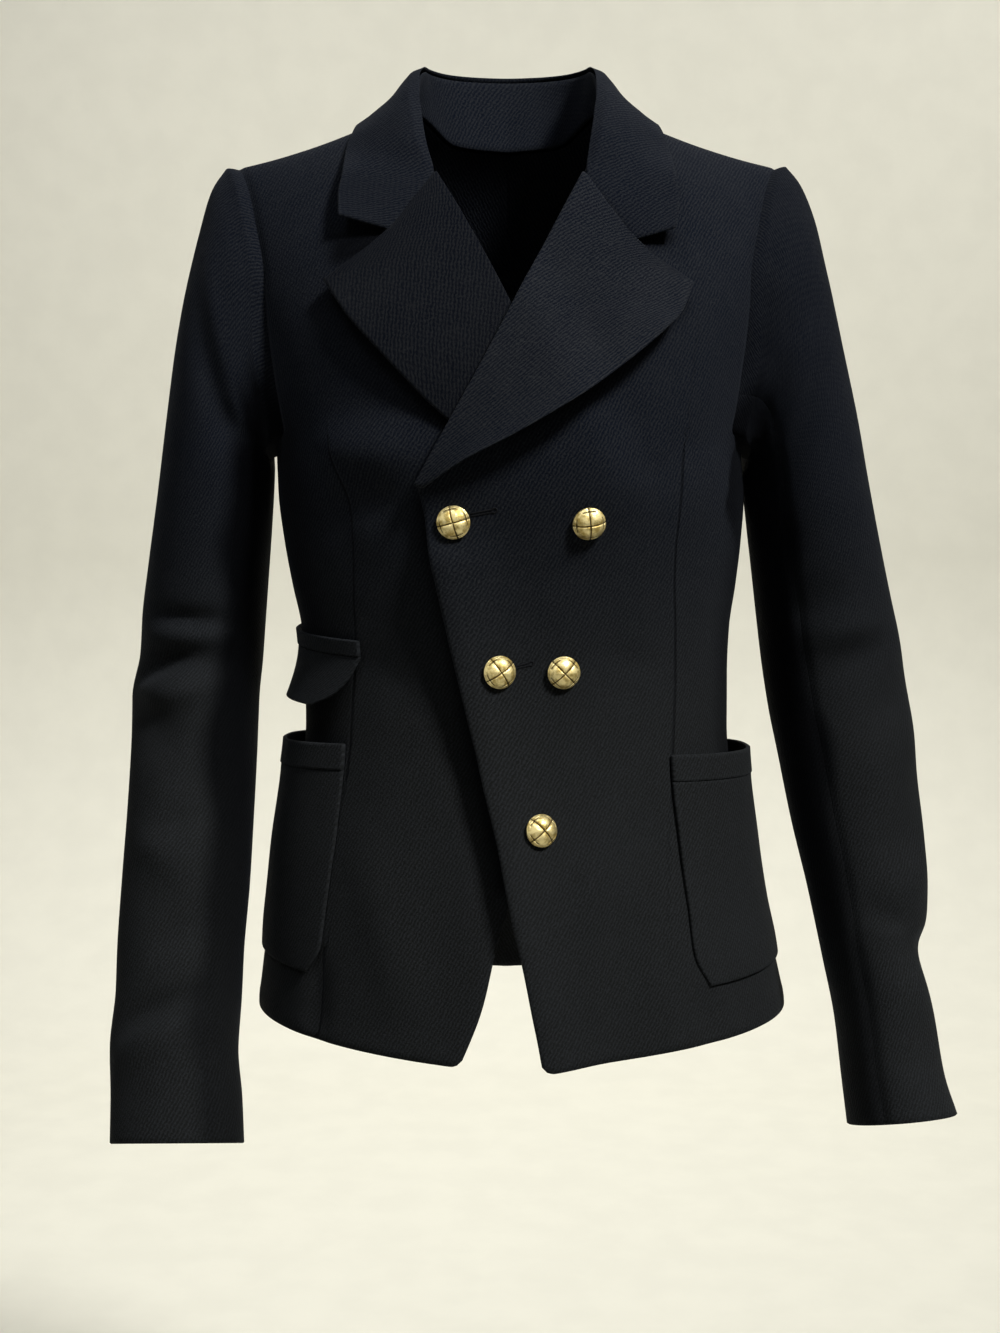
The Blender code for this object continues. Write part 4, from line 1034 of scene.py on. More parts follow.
@dataclass(frozen=True)
class WoolTwill(Finish):
    """Soft matte wool in a fine diagonal twill, nearly black navy."""

    name: str
    weave: NodeTree
    groove: NodeTree
    wear_and_highlight: NodeTree
    # Darker and bluer towards the top, lighter and greyer towards the bottom.
    upper: tuple = (0.0040, 0.0057, 0.0110, 1.0)
    lower: tuple = (0.0094, 0.0102, 0.0101, 1.0)
    pale: tuple = (0.0275, 0.0300, 0.0345, 1.0)
    lint: tuple = (0.0800, 0.0820, 0.0840, 1.0)
    # deep is the colour of seam grooves and of painted shade
    deep: tuple = (0.0008, 0.0009, 0.0014, 1.0)
    pitch: float = 0.0025
    ribs: float = 0.58
    relief: float = 0.55
    slubs: float = 0.22
    patches: float = 0.12
    # how far edges turn pale, worn and partly a painted highlight
    rubbed: float = 0.16
    linty: float = 0.30
    seam_shade: float = 0.50
    # how far the fullest painted shade takes the colour towards deep
    painted_shade_depth: float = 0.88

    def inputs(self, graph: Graph) -> dict:
        """Mixes the wool's colours, with painted shade and painted edge highlights, and raises its
        weave and seams.

        Args:
            graph: the material's nodes.

        Returns:
            The shader's inputs.
        """
        flat = graph.add("ShaderNodeUVMap", uv_map="cloth").outputs[0]
        solid = graph.solid_place()
        weave = graph.group(self.weave, Place=flat, Pitch=self.pitch)
        groove = graph.group(self.groove, Distance=graph.stored("seam"))
        wear_and_highlight = graph.group(self.wear_and_highlight, Place=solid, Edge=graph.stored("edge"))
        height = graph.add("ShaderNodeSeparateXYZ", {0: solid}).outputs[2]
        base = graph.mix(graph.remap(height, -0.42, -0.20), self.lower, self.upper)
        for share, colour in (
            (graph.remap(weave["Height"], -1.2, 1.6, (0.0, self.ribs)), self.pale),
            (graph.remap(weave["Slub"], 0.56, 0.74, (0.0, self.slubs)), self.pale),
            (graph.remap(wear_and_highlight["Tone"], 0.45, 0.95, (0.0, self.patches)), self.pale),
            # edges paler from being worn, and partly a painted highlight
            (graph.times(wear_and_highlight["Rubbed"], self.rubbed), self.pale),
            (graph.times(wear_and_highlight["Lint"], self.linty), self.lint),
            (graph.times(groove["Shade"], self.seam_shade), self.deep),
            # painted shade, stored by each piece, darkens the colour towards deep
            (graph.times(graph.stored("painted_shade"), self.painted_shade_depth), self.deep),
        ):
            base = graph.mix(share, base, colour)
        fine = graph.bump(self.relief, 0.00016, weave["Height"])
        return {
            "Base Color": base,
            "Roughness": graph.remap(wear_and_highlight["Tone"], 0.4, 1.0, (0.86, 0.74)),
            "Specular IOR Level": 0.02,
            "Sheen Weight": 0.018,
            "Sheen Roughness": 0.40,
            "Sheen Tint": (0.72, 0.80, 1.0, 1.0),
            "Normal": graph.bump(1.0, 0.0006, groove["Height"], Normal=fine),
        }


@dataclass(frozen=True)
class AgedBrass(Finish):
    """Polished brass, darkened with time in its grooves, and by painted shade down the sides of each
    button.
    """

    name: str = "aged_brass"
    bright: tuple = (0.93, 0.78, 0.39, 1.0)
    dull: tuple = (0.46, 0.34, 0.11, 1.0)
    dark: tuple = (0.075, 0.050, 0.016, 1.0)

    def inputs(self, graph: Graph) -> dict:
        """Mixes the brass's colours, roughness and dents.

        Args:
            graph: the material's nodes.

        Returns:
            The shader's inputs.
        """
        solid = graph.solid_place()
        patches = graph.noise(solid, 260.0, 4.0)
        # dark with time in the grooves, and painted shade down the sides
        age_and_shade = graph.plus(graph.stored("hollow_and_shade"), graph.times(graph.noise(solid, 700.0), 0.25))
        aged_and_shaded = graph.remap(age_and_shade, 0.35, 0.95)
        base = graph.mix(graph.remap(patches, 0.40, 0.66), self.bright, self.dull)
        rough = graph.remap(patches, 0.3, 0.7, (0.34, 0.52))
        return {
            "Base Color": graph.mix(aged_and_shaded, base, self.dark),
            "Roughness": graph.plus(rough, graph.times(aged_and_shaded, 0.35)),
            "Metallic": graph.remap(aged_and_shaded, 0.2, 1.0, (0.88, 0.50)),
            "Normal": graph.bump(0.50, 0.0004, graph.noise(solid, 900.0, 3.0)),
        }


@dataclass(frozen=True)
class Thread(Finish):
    """Twisted buttonhole thread."""

    name: str = "thread"
    colour: tuple = (0.0055, 0.0060, 0.0080, 1.0)

    def inputs(self, graph: Graph) -> dict:
        """Twists the thread.

        Args:
            graph: the material's nodes.

        Returns:
            The shader's inputs.
        """
        wave = {"Vector": graph.solid_place(), "Scale": 900.0, "Distortion": 1.5}
        twist = graph.add("ShaderNodeTexWave", wave).outputs[1]
        inputs = {"Base Color": self.colour, "Roughness": 0.75, "Specular IOR Level": 0.10}
        return inputs | {"Normal": graph.bump(0.6, 0.0002, twist)}


@dataclass(frozen=True)
class Plaster(Finish):
    """Smooth pale wall and floor."""

    name: str = "plaster"
    colour: tuple = (0.76, 0.745, 0.66, 1.0)
    darker: float = 0.965

    def inputs(self, graph: Graph) -> dict:
        """Gives the plaster a faint grain.

        Args:
            graph: the material's nodes.

        Returns:
            The shader's inputs.
        """
        grain = graph.noise(graph.solid_place(), 14.0, 6.0)
        shade = tuple(part * self.darker for part in self.colour[:3]) + (1.0,)
        base = graph.mix(graph.remap(grain, 0.3, 0.7), self.colour, shade)
        return {"Base Color": base, "Roughness": 0.85, "Normal": graph.bump(0.25, 0.003, grain)}


@dataclass(frozen=True)
class FlatCut:
    """A piece of cloth before it is sewn."""

    width: float
    length: float
    area: float
    held: Held = Held.HUNG
    rests_on: tuple = ()

    def resting(self, *nodes: str) -> "FlatCut":
        """The same cut, resting on the cloth of these nodes."""
        return replace(self, rests_on=nodes)


# Cuts: width, length and area.
FRONT_CUT = FlatCut(0.287, 0.712, 0.1310)
BACK_CUT = FlatCut(0.260, 0.711, 0.1270)
LAPEL_CUT = FlatCut(0.104, 0.269, 0.0145, Held.FOLDED)
FALL_CUT = FlatCut(0.075, 0.562, 0.0311, Held.FOLDED)
STAND_CUT = FlatCut(0.054, 0.385, 0.0115, Held.FOLDED)
TOP_SLEEVE_CUT = FlatCut(0.332, 0.675, 0.1155)
UNDER_SLEEVE_CUT = FlatCut(0.183, 0.561, 0.0507)
PATCH_CUT = FlatCut(0.188, 0.137, 0.0218, Held.LAID)
BAND_CUT = FlatCut(0.017, 0.172, 0.0027, Held.LAID)
WELT_CUT = FlatCut(0.0105, 0.117, 0.0011, Held.LAID)
FLAP_CUT = FlatCut(0.053, 0.115, 0.0039, Held.LAID)


def add_object(name: str, data: bpy.types.ID) -> bpy.types.Object:
    """An object of the scene that shows this mesh, lamp or camera."""
    made = bpy.data.objects.new(name, data)
    bpy.context.scene.collection.objects.link(made)
    return made


def make_mesh(name: str, points: Array, faces: list, look: Material) -> bpy.types.Object:
    """A smooth-shaded object with its faces turned outwards.

    Args:
        name: its name.
        points: its points.
        faces: its faces, as lists of point numbers.
        look: its material.

    Returns:
        The object.
    """
    mesh = bpy.data.meshes.new(name)
    mesh.from_pydata(points.tolist(), [], faces)
    work = bmesh.new()
    work.from_mesh(mesh)
    bmesh.ops.recalc_face_normals(work, faces=work.faces)
    if work.calc_volume(signed=True) < 0:
        bmesh.ops.reverse_faces(work, faces=work.faces)
    work.to_mesh(mesh)
    work.free()
    mesh.polygons.foreach_set("use_smooth", np.ones(len(mesh.polygons), bool))
    mesh.materials.append(look)
    log.info("%s: %d points", name, len(points))
    return add_object(name, mesh)


def ring_faces(rings: int, around: int) -> tuple:
    """Joins closed rings of points.

    Args:
        rings: how many rings there are.
        around: how many points each has.

    Returns:
        The faces between the rings, and the numbers of the first and of the last ring's points,
        each with the number of the point after it.
    """
    here = np.arange(rings * around).reshape(rings, around)
    after = np.roll(here, -1, axis=1)
    quads = np.stack([here[:-1], here[1:], after[1:], after[:-1]], axis=-1).reshape(-1, 4)
    ends = [list(zip(here[k].tolist(), after[k].tolist())) for k in (0, -1)]
    return quads.tolist(), *ends


def add_values(made: bpy.types.Object, name: str, values: Array) -> None:
    """Stores a number at every vertex for the materials to read."""
    attribute = made.data.attributes.new(name, "FLOAT", "POINT")
    attribute.data.foreach_set("value", values.astype(np.float32))


def hand_over(made: bpy.types.Object, node: str) -> None:
    """Lets the piece stand for a CAD node: hangs it from the root body and hides the node."""
    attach(made, "root")
    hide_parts(node)


@dataclass
class ClothSheet:
    """A closed thin shell of cloth between two grids of points, with a rounded rim.

    Attributes:
        node: the CAD node that it stands for.
        inner: grid of points of the inner face.
        outer: grid of points of the outer face.
        grain: place of each grid point in the weave, in metres.
        seam: distance of each grid point to a sewing line, or None.
        painted_shade: how far painted shade darkens each grid point, from 0 to 1, or None.
    """

    node: str
    inner: Array
    outer: Array
    grain: Array
    seam: Array | None = None
    painted_shade: Array | None = None

    def edge_distance(self) -> Array:
        """Distance of each grid point to the nearest edge of the sheet."""
        up, across = run_along(self.outer, 0), run_along(self.outer, 1)
        return np.min([up, up[-1:] - up, across, across[:, -1:] - across], axis=0)

    def build(self, look: Material, cut: FlatCut) -> None:
        """Makes the shell and hands it to the frame.

        Args:
            look: the cloth's material.
            cut: the size of the cloth before sewing; not used.
        """
        rows, columns = self.inner.shape[:2]
        count = rows * columns
        index = np.arange(count).reshape(rows, columns)
        corners = [index[:-1, :-1], index[:-1, 1:], index[1:, 1:], index[1:, :-1]]
        quads = np.stack(corners, axis=-1).reshape(-1, 4)
        rim = np.concatenate([index[0], index[1:, -1], index[-1, -2::-1], index[-2:0:-1, 0]])
        inland = index[
            np.clip(rim // columns, 1, rows - 2),
            np.clip(rim % columns, 1, columns - 2),
        ]
        middle = ((self.inner + self.outer) / 2).reshape(-1, 3)
        lip = middle[rim] + unit(middle[rim] - middle[inland]) * RIM_OUT
        here = np.arange(len(rim)) + 2 * count
        after, next_rim = np.roll(here, -1), np.roll(rim, -1)
        bands = [
            np.stack([rim + count, next_rim + count, after, here], axis=-1),
            np.stack([here, after, next_rim, rim], axis=-1),
        ]
        faces = np.concatenate([quads + count, quads[:, ::-1], *bands])
        points = np.concatenate([self.inner.reshape(-1, 3), self.outer.reshape(-1, 3), lip])
        made = make_mesh(f"cloth_{self.node}", points, faces.tolist(), look)
        grain = self.grain.reshape(-1, 2)
        grain = np.concatenate([grain, grain, grain[rim]])
        numbers = np.empty(len(made.data.loops), np.int32)
        made.data.loops.foreach_get("vertex_index", numbers)
        flat = made.data.uv_layers.new(name="cloth")
        flat.data.foreach_set("uv", grain[numbers].astype(np.float32).ravel())
        edge = self.edge_distance().ravel()
        add_values(made, "edge", np.concatenate([edge, edge, np.zeros(len(rim))]))
        seam = np.ones(count) if self.seam is None else self.seam.ravel()
        add_values(made, "seam", np.concatenate([np.ones(count), seam, np.ones(len(rim))]))
        # painted shade, stored at every vertex for the wool to darken by
        painted_shade = np.zeros(count) if self.painted_shade is None else self.painted_shade.ravel()
        add_values(made, "painted_shade", np.concatenate([painted_shade, painted_shade, painted_shade[rim]]))
        hand_over(made, self.node)


@dataclass
class Part:
    """What every part of the blazer is made with."""

    form: DressForm
    look: Material


@dataclass
class BodyPanel(Part):
    """A front or a back of the body, from its inner edge to the side seam and armhole."""

    side: Side
    behind: bool
    cut: FlatCut
    corner_radius: float = 0.0045  # hem corner of each front
    hem_rise: float = 0.0030  # at the middle of a front's hem
    hem_calm: float = 0.4  # folds are half as deep at the hem, and full from half so many rows up

    @property
    def node(self) -> str:
        """Name of the CAD node."""
        return f"{'back' if self.behind else 'front'}_{self.side.word}"

    @property
    def laps_over(self) -> bool:
        """Whether this is the front that lies over the other."""
        return self.side is LEFT and not self.behind

    def edges(self, t: Array) -> tuple:
        """Places on the inner and the outer edge.

        Args:
            t: fractional rows of the panel's table.

        Returns:
            A turn and a climb for each row on the inner edge, and the same on the outer one.
        """
        data = BACK if self.behind else FRONT
        inner = self.form.place(data[f"{self.side.word}_x"], data["edge_z"], self.side, self.behind)
        outer = data["side_x"] * self.side.value
        outer = self.form.place(outer, data["side_z"], self.side, self.behind)
        corners = BACK_CORNERS if self.behind else FRONT_CORNERS
        return curve(inner, t, corners), curve(outer, t, (UNDERARM_ROW,))

    def grid(self) -> tuple:
        """Fractional rows and shares across of the mesh, with a rounded hem corner."""
        t, s = np.meshgrid(fine_rows(LAST_ROW), close_ends(PANEL_FINE_ACROSS), indexing="ij")
        if self.behind:
            return t, s
        tall, wide = self.corner_radius / EVEN_ROW, self.corner_radius / EVEN_WIDTH
        a, b = np.maximum(1 - t / tall, 0.0), np.maximum(1 - s / wide, 0.0)
        return (
            np.where(t < tall, tall * (1 - a * np.sqrt(1 - b**2 / 2)), t),
            np.where(s < wide, wide * (1 - b * np.sqrt(1 - a**2 / 2)), s),
        )

    def painted_shade(self, turn: Array, x: Array, z: Array) -> Array:
        """Painted shade where the arm, and what lies over a front, keep the light off.

        Args:
            turn: angle round from centre front of each place.
            x: its distance to the wearer's left.
            z: its height.

        Returns:
            A share from 0 to 1 for each place.
        """
        aside = np.abs(turn)
        aside = math.pi - aside if self.behind else aside
        low, high = np.radians(SIDE_PAINTED_SHADE[self.side])
        found = ease((aside - low) / (high - low))
        found = found * ease((z - SHADE_FOOT_Z) / SHADE_FOOT_FADE)
        found = found * ease((SHADE_TOP_Z - z) / SHADE_TOP_FADE)
        # painted shade in the bands where a lapel, the collar or the lap would shadow the front
        if not self.behind:
            found = np.maximum(found, painted_shade_share(x, z, PAINTED_SHADE_BANDS[self.side]))
        # painted shade under the wearer's left arm, outside the underarm line
        if self.laps_over:
            outside = -line_distance(x, z, (UNDERARM_SHADE_LINE,))
            near = outside < UNDERARM_REACH
            found = np.maximum(found, ease(outside / UNDERARM_SOFT + 0.5) * near)
        return found

    def build(self) -> None:
        """Makes the panel."""
        t, s = self.grid()
        inner, outer = self.edges(t)
        spots = inner * (1 - s[..., None]) + outer * s[..., None]
        if not self.behind:
            spots[..., 1] += self.hem_rise * np.sin(math.pi * s) * ease(1 - t / 2)
        base = self.form.at(spots, 0.0)
        x, z = base[..., 0], base[..., 2]
        off = -fold_push(x, z, BACK_FOLDS if self.behind else FRONT_FOLDS)
        off *= ease(t / self.hem_calm + 0.5)
        if self.laps_over:
            off = off + self.form.lap_lift(x, z)
        across, up = run_along(base, 1), run_along(base, 0)
        dip = np.maximum(hill(across[:, -1:] - across, SEWN_HALF), hill(up[-1:] - up, SEWN_HALF))
        free = hill(up - FREE_HALF, FREE_HALF)
        if self.behind:
            dip = np.maximum(dip, hill(across, SEWN_HALF))
        else:
            free = np.maximum(free, hill(across - FREE_HALF, FREE_HALF))
        face = WALL - SEWN_DIP * dip + FREE_SWELL * free * (1 - dip)
        sign, way = self.side.value, -1 if self.behind else 1
        shift = np.array([sign * SEAM / 2 if self.behind else 0.0, -way * SEAM / 2, 0.0])
        faces = [self.form.at(spots, off + k) + shift for k in (0.0, face)]
        grain = pairs(x[:, :1] * way + sign * way * across, z)
        seam = None if self.behind else line_distance(x, z, DARTS[self.side])
        # painted shade: the arm's on the sides, and that of what lies over a front
        painted_shade = self.painted_shade(spots[..., 0], x, z)
        ClothSheet(self.node, *faces, grain, seam, painted_shade).build(self.look, self.cut)


@dataclass
class Lapel(Part):
    """A lapel turned back over its front along the roll line, with a rounded fold."""

    side: Side
    cut: FlatCut
    held_share: float = 0.3  # of the width, from the fold, in which the solid's cloth lies close
    bow: float = 1.6  # how the stand-off grows from the fold to the free edge

    def face(self, t: Array, q: Array, key: str) -> Array:
        """Points of the inner or the outer face.

        Args:
            t: fractional rows of the lapel's table.
            q: fractional steps of its section.
            key: "inner" or "outer".

        Returns:
            A grid of points.
        """
        data = LAPEL[self.side]
        roll = curve(pairs(data["roll_x"], data["roll_z"]), t)[:, None, :]
        edge = curve(pairs(data["edge_x"], data["edge_z"]), t, (PEAK_ROW,))[:, None, :]
        proud = curve(data["proud"], t)[:, None]
        along = unit(np.gradient(roll, axis=0))
        past = np.stack([-along[..., 1], along[..., 0]], axis=-1) * self.side.value
        share = curve(ROLL["share"], q)[None, :]
        beyond = curve(ROLL["past"], q) + (curve(ROLL["wrap"], q) if key == "outer" else 0.0)
        spot = roll + (edge - roll) * share[..., None] + past * beyond[None, :, None]
        height = curve(ROLL[key], q)[None, :]
        low = height + proud * ease((share - self.held_share) / (1 - self.held_share))
        high = height + proud * STAND_OFF[self.side] * share**self.bow
        if self.side is LEFT:
            lap = self.form.lap_lift(spot[..., 0], spot[..., 1])
            low, high = low + lap, high + lap
        return self.form.raised(spot, self.side, low, high) + np.array([0.0, -SEAM / 2, 0.0])

    def build(self) -> None:
        """Makes the lapel."""
        t = fine_rows(len(LAPEL[self.side]["proud"]) - 1)
        q = fine_rows(len(ROLL["share"]) - 1, LAPEL_FINE_PER_STEP)
        inner, outer = (self.face(t, q, key) for key in ("inner", "outer"))
        across = run_along(outer, 1)
        grain = pairs(across * self.side.value, run_along(outer[:, :1], 0))
        # painted shade over the whole lapel, as if it were turned from the light
        painted_shade = np.full(across.shape, LAPEL_PAINTED_SHADE[self.side])
        sheet = ClothSheet(f"lapel_{self.side.word}", inner, outer, grain, None, painted_shade)
        sheet.build(self.look, self.cut)


@dataclass
class Collar(Part):
    """The fall of the collar with its two notched ends, and the stand that it folds over."""

    front: BodyPanel
    back: BodyPanel
    fall_cut: FlatCut
    stand_cut: FlatCut
    seam_lift: float = 0.0030
    edge_lift: float = 0.0048
    leaf_stand: float = 0.0085  # how much further than its solid the notched ends stand off
    leaf_bulge: float = 0.2  # share of the fold's bulge that the flat ends keep
    turned_by: float = 0.07  # share of the fall in which the cloth turns over the fold
    front_neck_row: float = 13.0  # where the front's neck edge starts
    back_neck_row: float = 15.0
    neck_middle_y: float = 0.010
    stand_from: float = 0.008  # the stand begins where the fall has risen so far

    def side_rows(self, side: Side) -> tuple:
        """The collar's rows from a notch to centre back.

        Args:
            side: the side of the notch.

        Returns:
            Fold points, edge points, roll and stand.
        """
        folds, edges = [], []
        for fold_x, fold_y, fold_z, edge_x, edge_z, at_back, roll, _ in rows_of(COLLAR[side]):
            if roll == 0:
                spot = np.array([edge_x * side.value, edge_z])
                high = self.edge_lift + self.leaf_stand
                edges.append(self.form.raised(spot, side, self.edge_lift, high))
            else:
                spot = self.form.place(edge_x * side.value, edge_z, side, bool(at_back))
                edges.append(self.form.at(spot, self.edge_lift))
            if math.isnan(fold_y):
                spot = self.form.place(fold_x * side.value, fold_z, side)
                folds.append(self.form.at(spot, self.seam_lift))
            else:
                folds.append(np.array([fold_x * side.value, fold_y, fold_z]))
        return np.array(folds), np.array(edges), COLLAR[side]["roll"], COLLAR[side]["stand"]

    def rows(self) -> list:
        """The same four, right round from the wearer's right notch to the left one."""
        both = zip(self.side_rows(RIGHT), self.side_rows(LEFT))
        coarse = [np.concatenate([a, b[-2::-1]]) for a, b in both]
        return [curve(values, fine_rows(len(values) - 1)) for values in coarse]

    def build_fall(self) -> None:
        """Makes the fall."""
        folds, edges, roll, _ = self.rows()
        down = unit(edges - folds)[:, None]
        out = unit(np.cross(np.gradient(folds, axis=0), down[:, 0]))[:, None]
        fullness = (self.leaf_bulge + (1 - self.leaf_bulge) * roll)[:, None]
        share = close_ends(COLLAR_FINE_ACROSS)
        bulge = smooth(FALL["share"], FALL["bulge"], share)[None, :]
        base = folds[:, None] + (edges - folds)[:, None] * share[None, :, None]
        base = base + out * (bulge * fullness)[..., None]
        flat = np.maximum(1 - roll[:, None], ease(share / self.turned_by)[None, :])[..., None]
        face = base + (out * flat - down * (1 - flat)) * WALL
        grain = pairs(run_along(face[:, :1], 0), -run_along(face, 1))
        ClothSheet("collar", base, face, grain).build(self.look, self.fall_cut)

    def neck_points(self, folds: Array) -> Array:
        """The neck seam on the top edges of the body panels.

        Args:
            folds: points of the fold.

        Returns:
            The point of the seam below each.
        """
        lines = []
        for panel, first in ((self.front, self.front_neck_row), (self.back, self.back_neck_row)):
            edge = panel.edges(np.linspace(first, LAST_ROW, NECK_FINE))[0]
            lines.append(self.form.at(edge, WALL / 2))
        line = np.concatenate([lines[0], lines[1][-2::-1]])
        away = np.arctan2(line[:, 0], -line[:, 1])
        wanted = np.arctan2(np.abs(folds[:, 0]), -folds[:, 1])
        found = np.stack([np.interp(wanted, away, line[:, k]) for k in range(3)], axis=-1)
        found[:, 0] *= np.sign(folds[:, 0])
        return found

    def build_stand(self) -> None:
        """Makes the stand."""
        folds, _, _, stand = self.rows()
        tops = folds[stand > self.stand_from]
        away = tops - np.array([0.0, self.neck_middle_y, 0.0])
        away[:, 2] = 0.0
        away = unit(away)
        feet = self.neck_points(tops) - away * (WALL / 2 + SEAM)
        feet[:, 2] += WALL / 2 + SEAM
        tops = tops - np.array([0.0, 0.0, WALL + SEAM])
        shares = np.linspace(0.0, 1.0, STAND_FINE)
        face = np.stack([feet + (tops - feet) * k for k in shares], axis=1)
        grain = pairs(run_along(face[:, :1], 0), run_along(face, 1))
        sheet = ClothSheet("collar_stand", face - away[:, None, :] * WALL, face, grain)
        sheet.build(self.look, self.stand_cut)


@dataclass
class Sleeve(Part):
    """A two-piece set-in sleeve, from the armhole to the cuff."""

    front: BodyPanel
    back: BodyPanel
    top_cut: FlatCut
    under_cut: FlatCut
    front_seam: float = 122.0  # degrees round from the outer line, by way of the front
    back_seam: float = 250.0
    mean_radius: float = 0.045  # turns the seam's width into an angle
    girth_degree: int = 3  # of the smooth line through the girths, which the weave follows
    head_rows: int = 4  # the sections before this row keep some of the armhole's shape
    head_pace: float = 0.012  # about the length of a row at the head
    cap_gap: float = 0.0010
    cap_roll: float = 0.0009  # how far the head of the sleeve rises past the shoulder seam
    cap_lift: float = WALL + 0.0013  # the lower half of the sleeve is set on the outside of the body
    lift_from: float = 80.0  # degrees
    lift_to: float = 112.0
    turn_from: float = 112.0
    turn_to: float = 145.0
    tuck_in: float = 0.0035  # how far the sewn edge goes in under the body's cloth
    tuck_under: float = 0.0006

    def __post_init__(self) -> None:
        """Finds the armhole: its angles, its points, and the way out of the cloth at each."""
        self.side = self.front.side
        self.data = SLEEVE[self.side]
        t = np.linspace(UNDERARM_ROW, LAST_ROW, ARMHOLE_FINE)
        found = []
        for start, part in ((0.0, self.front.edges(t)[1][::-1]), (180.0, self.back.edges(t)[1])):
            base = self.form.at(part, 0.0)
            way = (self.form.at(part, WALL) - base) / WALL
            along = run_along(base, 0)
            found.append((start + 180.0 * along / along[-1], base, way))
        self.known, self.hole, self.way = (np.concatenate([a, b[1:]]) for a, b in zip(*found))
        self.tip, self.under = self.hole[0], self.hole[len(self.hole) // 2]

    def armhole(self, angles: Array) -> list:
        """The armhole's points, and the way out of the cloth, at these angles."""
        sources = [(self.hole[:, k], self.way[:, k]) for k in range(3)]
        found = [[np.interp(angles % 360, self.known, k) for k in pair] for pair in sources]
        return [np.stack(k, axis=-1) for k in zip(*found)]

    def push(self, row: float, angles: Array) -> Array:
        """How far the creases press the sleeve in.

        Args:
            row: fractional row number.
            angles: degrees round from the outer line.

        Returns:
            A depth for each angle.
        """
        total = np.zeros(angles.shape)
        for middle, angle, half_angle, half_rows, rise, depth in rows_of(CREASES[self.side]):
            share = ((angles - angle + 180) % 360 - 180) / half_angle
            away = row - (middle + rise * share)
            total += depth * ease(1 - np.abs(share)) * hill(away, half_rows)
        return total

    def cap(self, angles: Array, off: Array) -> Array:
        """The first ring, just off the armhole.

        Args:
            angles: degrees round from the outer line.
            off: distance off the inner face.

        Returns:
            A point for each angle.
        """
        start, way = self.armhole(angles)
        low = from_outer_line(angles)
        lift = self.cap_lift * ease((low - self.lift_from) / (self.lift_to - self.lift_from))
        swing = ease((low - self.turn_from) / (self.turn_to - self.turn_from))
        radial = start - (self.tip + self.under) / 2
        radial[:, 0] = 0.0
        raised = start + way * (lift + off * (1 - swing))[:, None]
        shift = np.array([self.cap_gap * self.side.value, 0.0, 0.0])
        return raised + unit(radial) * (off * swing - SEAM)[:, None] + shift

    def sewn_edge(self, angles: Array, off: Array) -> Array:
        """The very edge, tucked under the body's cloth all round the armhole.

        Args:
            angles: degrees round from the outer line.
            off: distance off the inner face.

        Returns:
            A point for each angle.
        """
        start, way = self.armhole(angles)
        tuck = np.array([-self.tuck_in * self.side.value, 0.0, 0.0])
        return start + way * (off * 0.5 - self.tuck_under)[:, None] + tuck

    def ring(self, row: float, angles: Array, off: Array) -> Array:
        """One section of the sleeve.

        Args:
            row: fractional row number, from -1 at the armhole.
            angles: degrees round from the outer line, by way of the front.
            off: distance off the inner face.

        Returns:
            A point for each angle.
        """
        if row < 0:
            share = row + 1
            rise = self.cap_roll * ease(np.cos(np.radians(angles))) * 4 * share * (1 - share)
            head = self.sewn_edge(angles, off)
            return head * (1 - share) + self.ring(0.0, angles, off + 2 * rise) * share
        known = np.arange(len(self.data["lean"]), dtype=float)
        here = {name: float(smooth(known, self.data[name], row)) for name in self.data}
        outer, inner = (
            np.array([here[f"{name}_x"] * self.side.value, here["middle_y"], here[f"{name}_z"]])
            for name in ("outer", "inner")
        )
        half = np.linalg.norm(outer - inner) / 2 - WALL
        lean = math.radians(here["lean"])
        ahead = np.array([0.0, -math.cos(lean), math.sin(lean)])
        wave = np.radians(angles)[:, None]
        oval = (outer + inner) / 2 + unit(outer - inner) * np.cos(wave) * (half + off[:, None])
        oval += ahead * np.sin(wave) * (here["half_depth"] - WALL + off[:, None])
        if row >= self.head_rows:
            return oval
        down = self.under - self.tip
        cap = self.cap(angles, off) - self.tip
        share = (cap @ down / (down @ down))[:, None]
        own = ease((row + 1) / (self.head_rows + 1))
        return (outer + (inner - outer) * share + cap - down * share) * (1 - own) + oval * own

    def faces(self, stations: Array, angles: Array) -> tuple:
        """The inner and the outer face of one of the sleeve's two parts.

        Args:
            stations: fractional row numbers.
            angles: degrees round from the outer line.

        Returns:
            Two grids of points.
        """
        inner, outer = [], []
        for row in stations:
            push = self.push(row, angles)
            inner.append(self.ring(row, angles, -push))
            around = run_along(inner[-1], 0)
            dip = np.maximum(hill(around, SEWN_HALF), hill(around[-1] - around, SEWN_HALF))
            dip = np.maximum(dip, hill((row + 1) * self.head_pace, SEWN_HALF)) if row < 1 else dip
            outer.append(self.ring(row, angles, WALL - SEWN_DIP * dip - push))
        return np.stack(inner), np.stack(outer)

    def painted_shade(self, stations: Array, angles: Array) -> Array:
        """Painted shade on the inner side of the sleeve, where the body keeps the light off, and a
        least amount over its upper part.

        Args:
            stations: fractional row numbers.
            angles: degrees round from the outer line.

        Returns:
            A share from 0 to 1 for each place.
        """
        low, high = ARM_PAINTED_SHADE[self.side]
        row = stations[:, None]
        wander = sum(size * np.sin(pace * row + start) for size, pace, start in SHADE_WANDER)
        found = ease((from_outer_line(angles) + wander - low) / (high - low))
        found = found * (1 - 0.5 * ease((row - FADE_FROM) / FADE_ROWS))
        return np.maximum(found, ARM_LEAST_PAINTED_SHADE[self.side] * (1 - ease((row - LEAST_FROM) / LEAST_ROWS)))

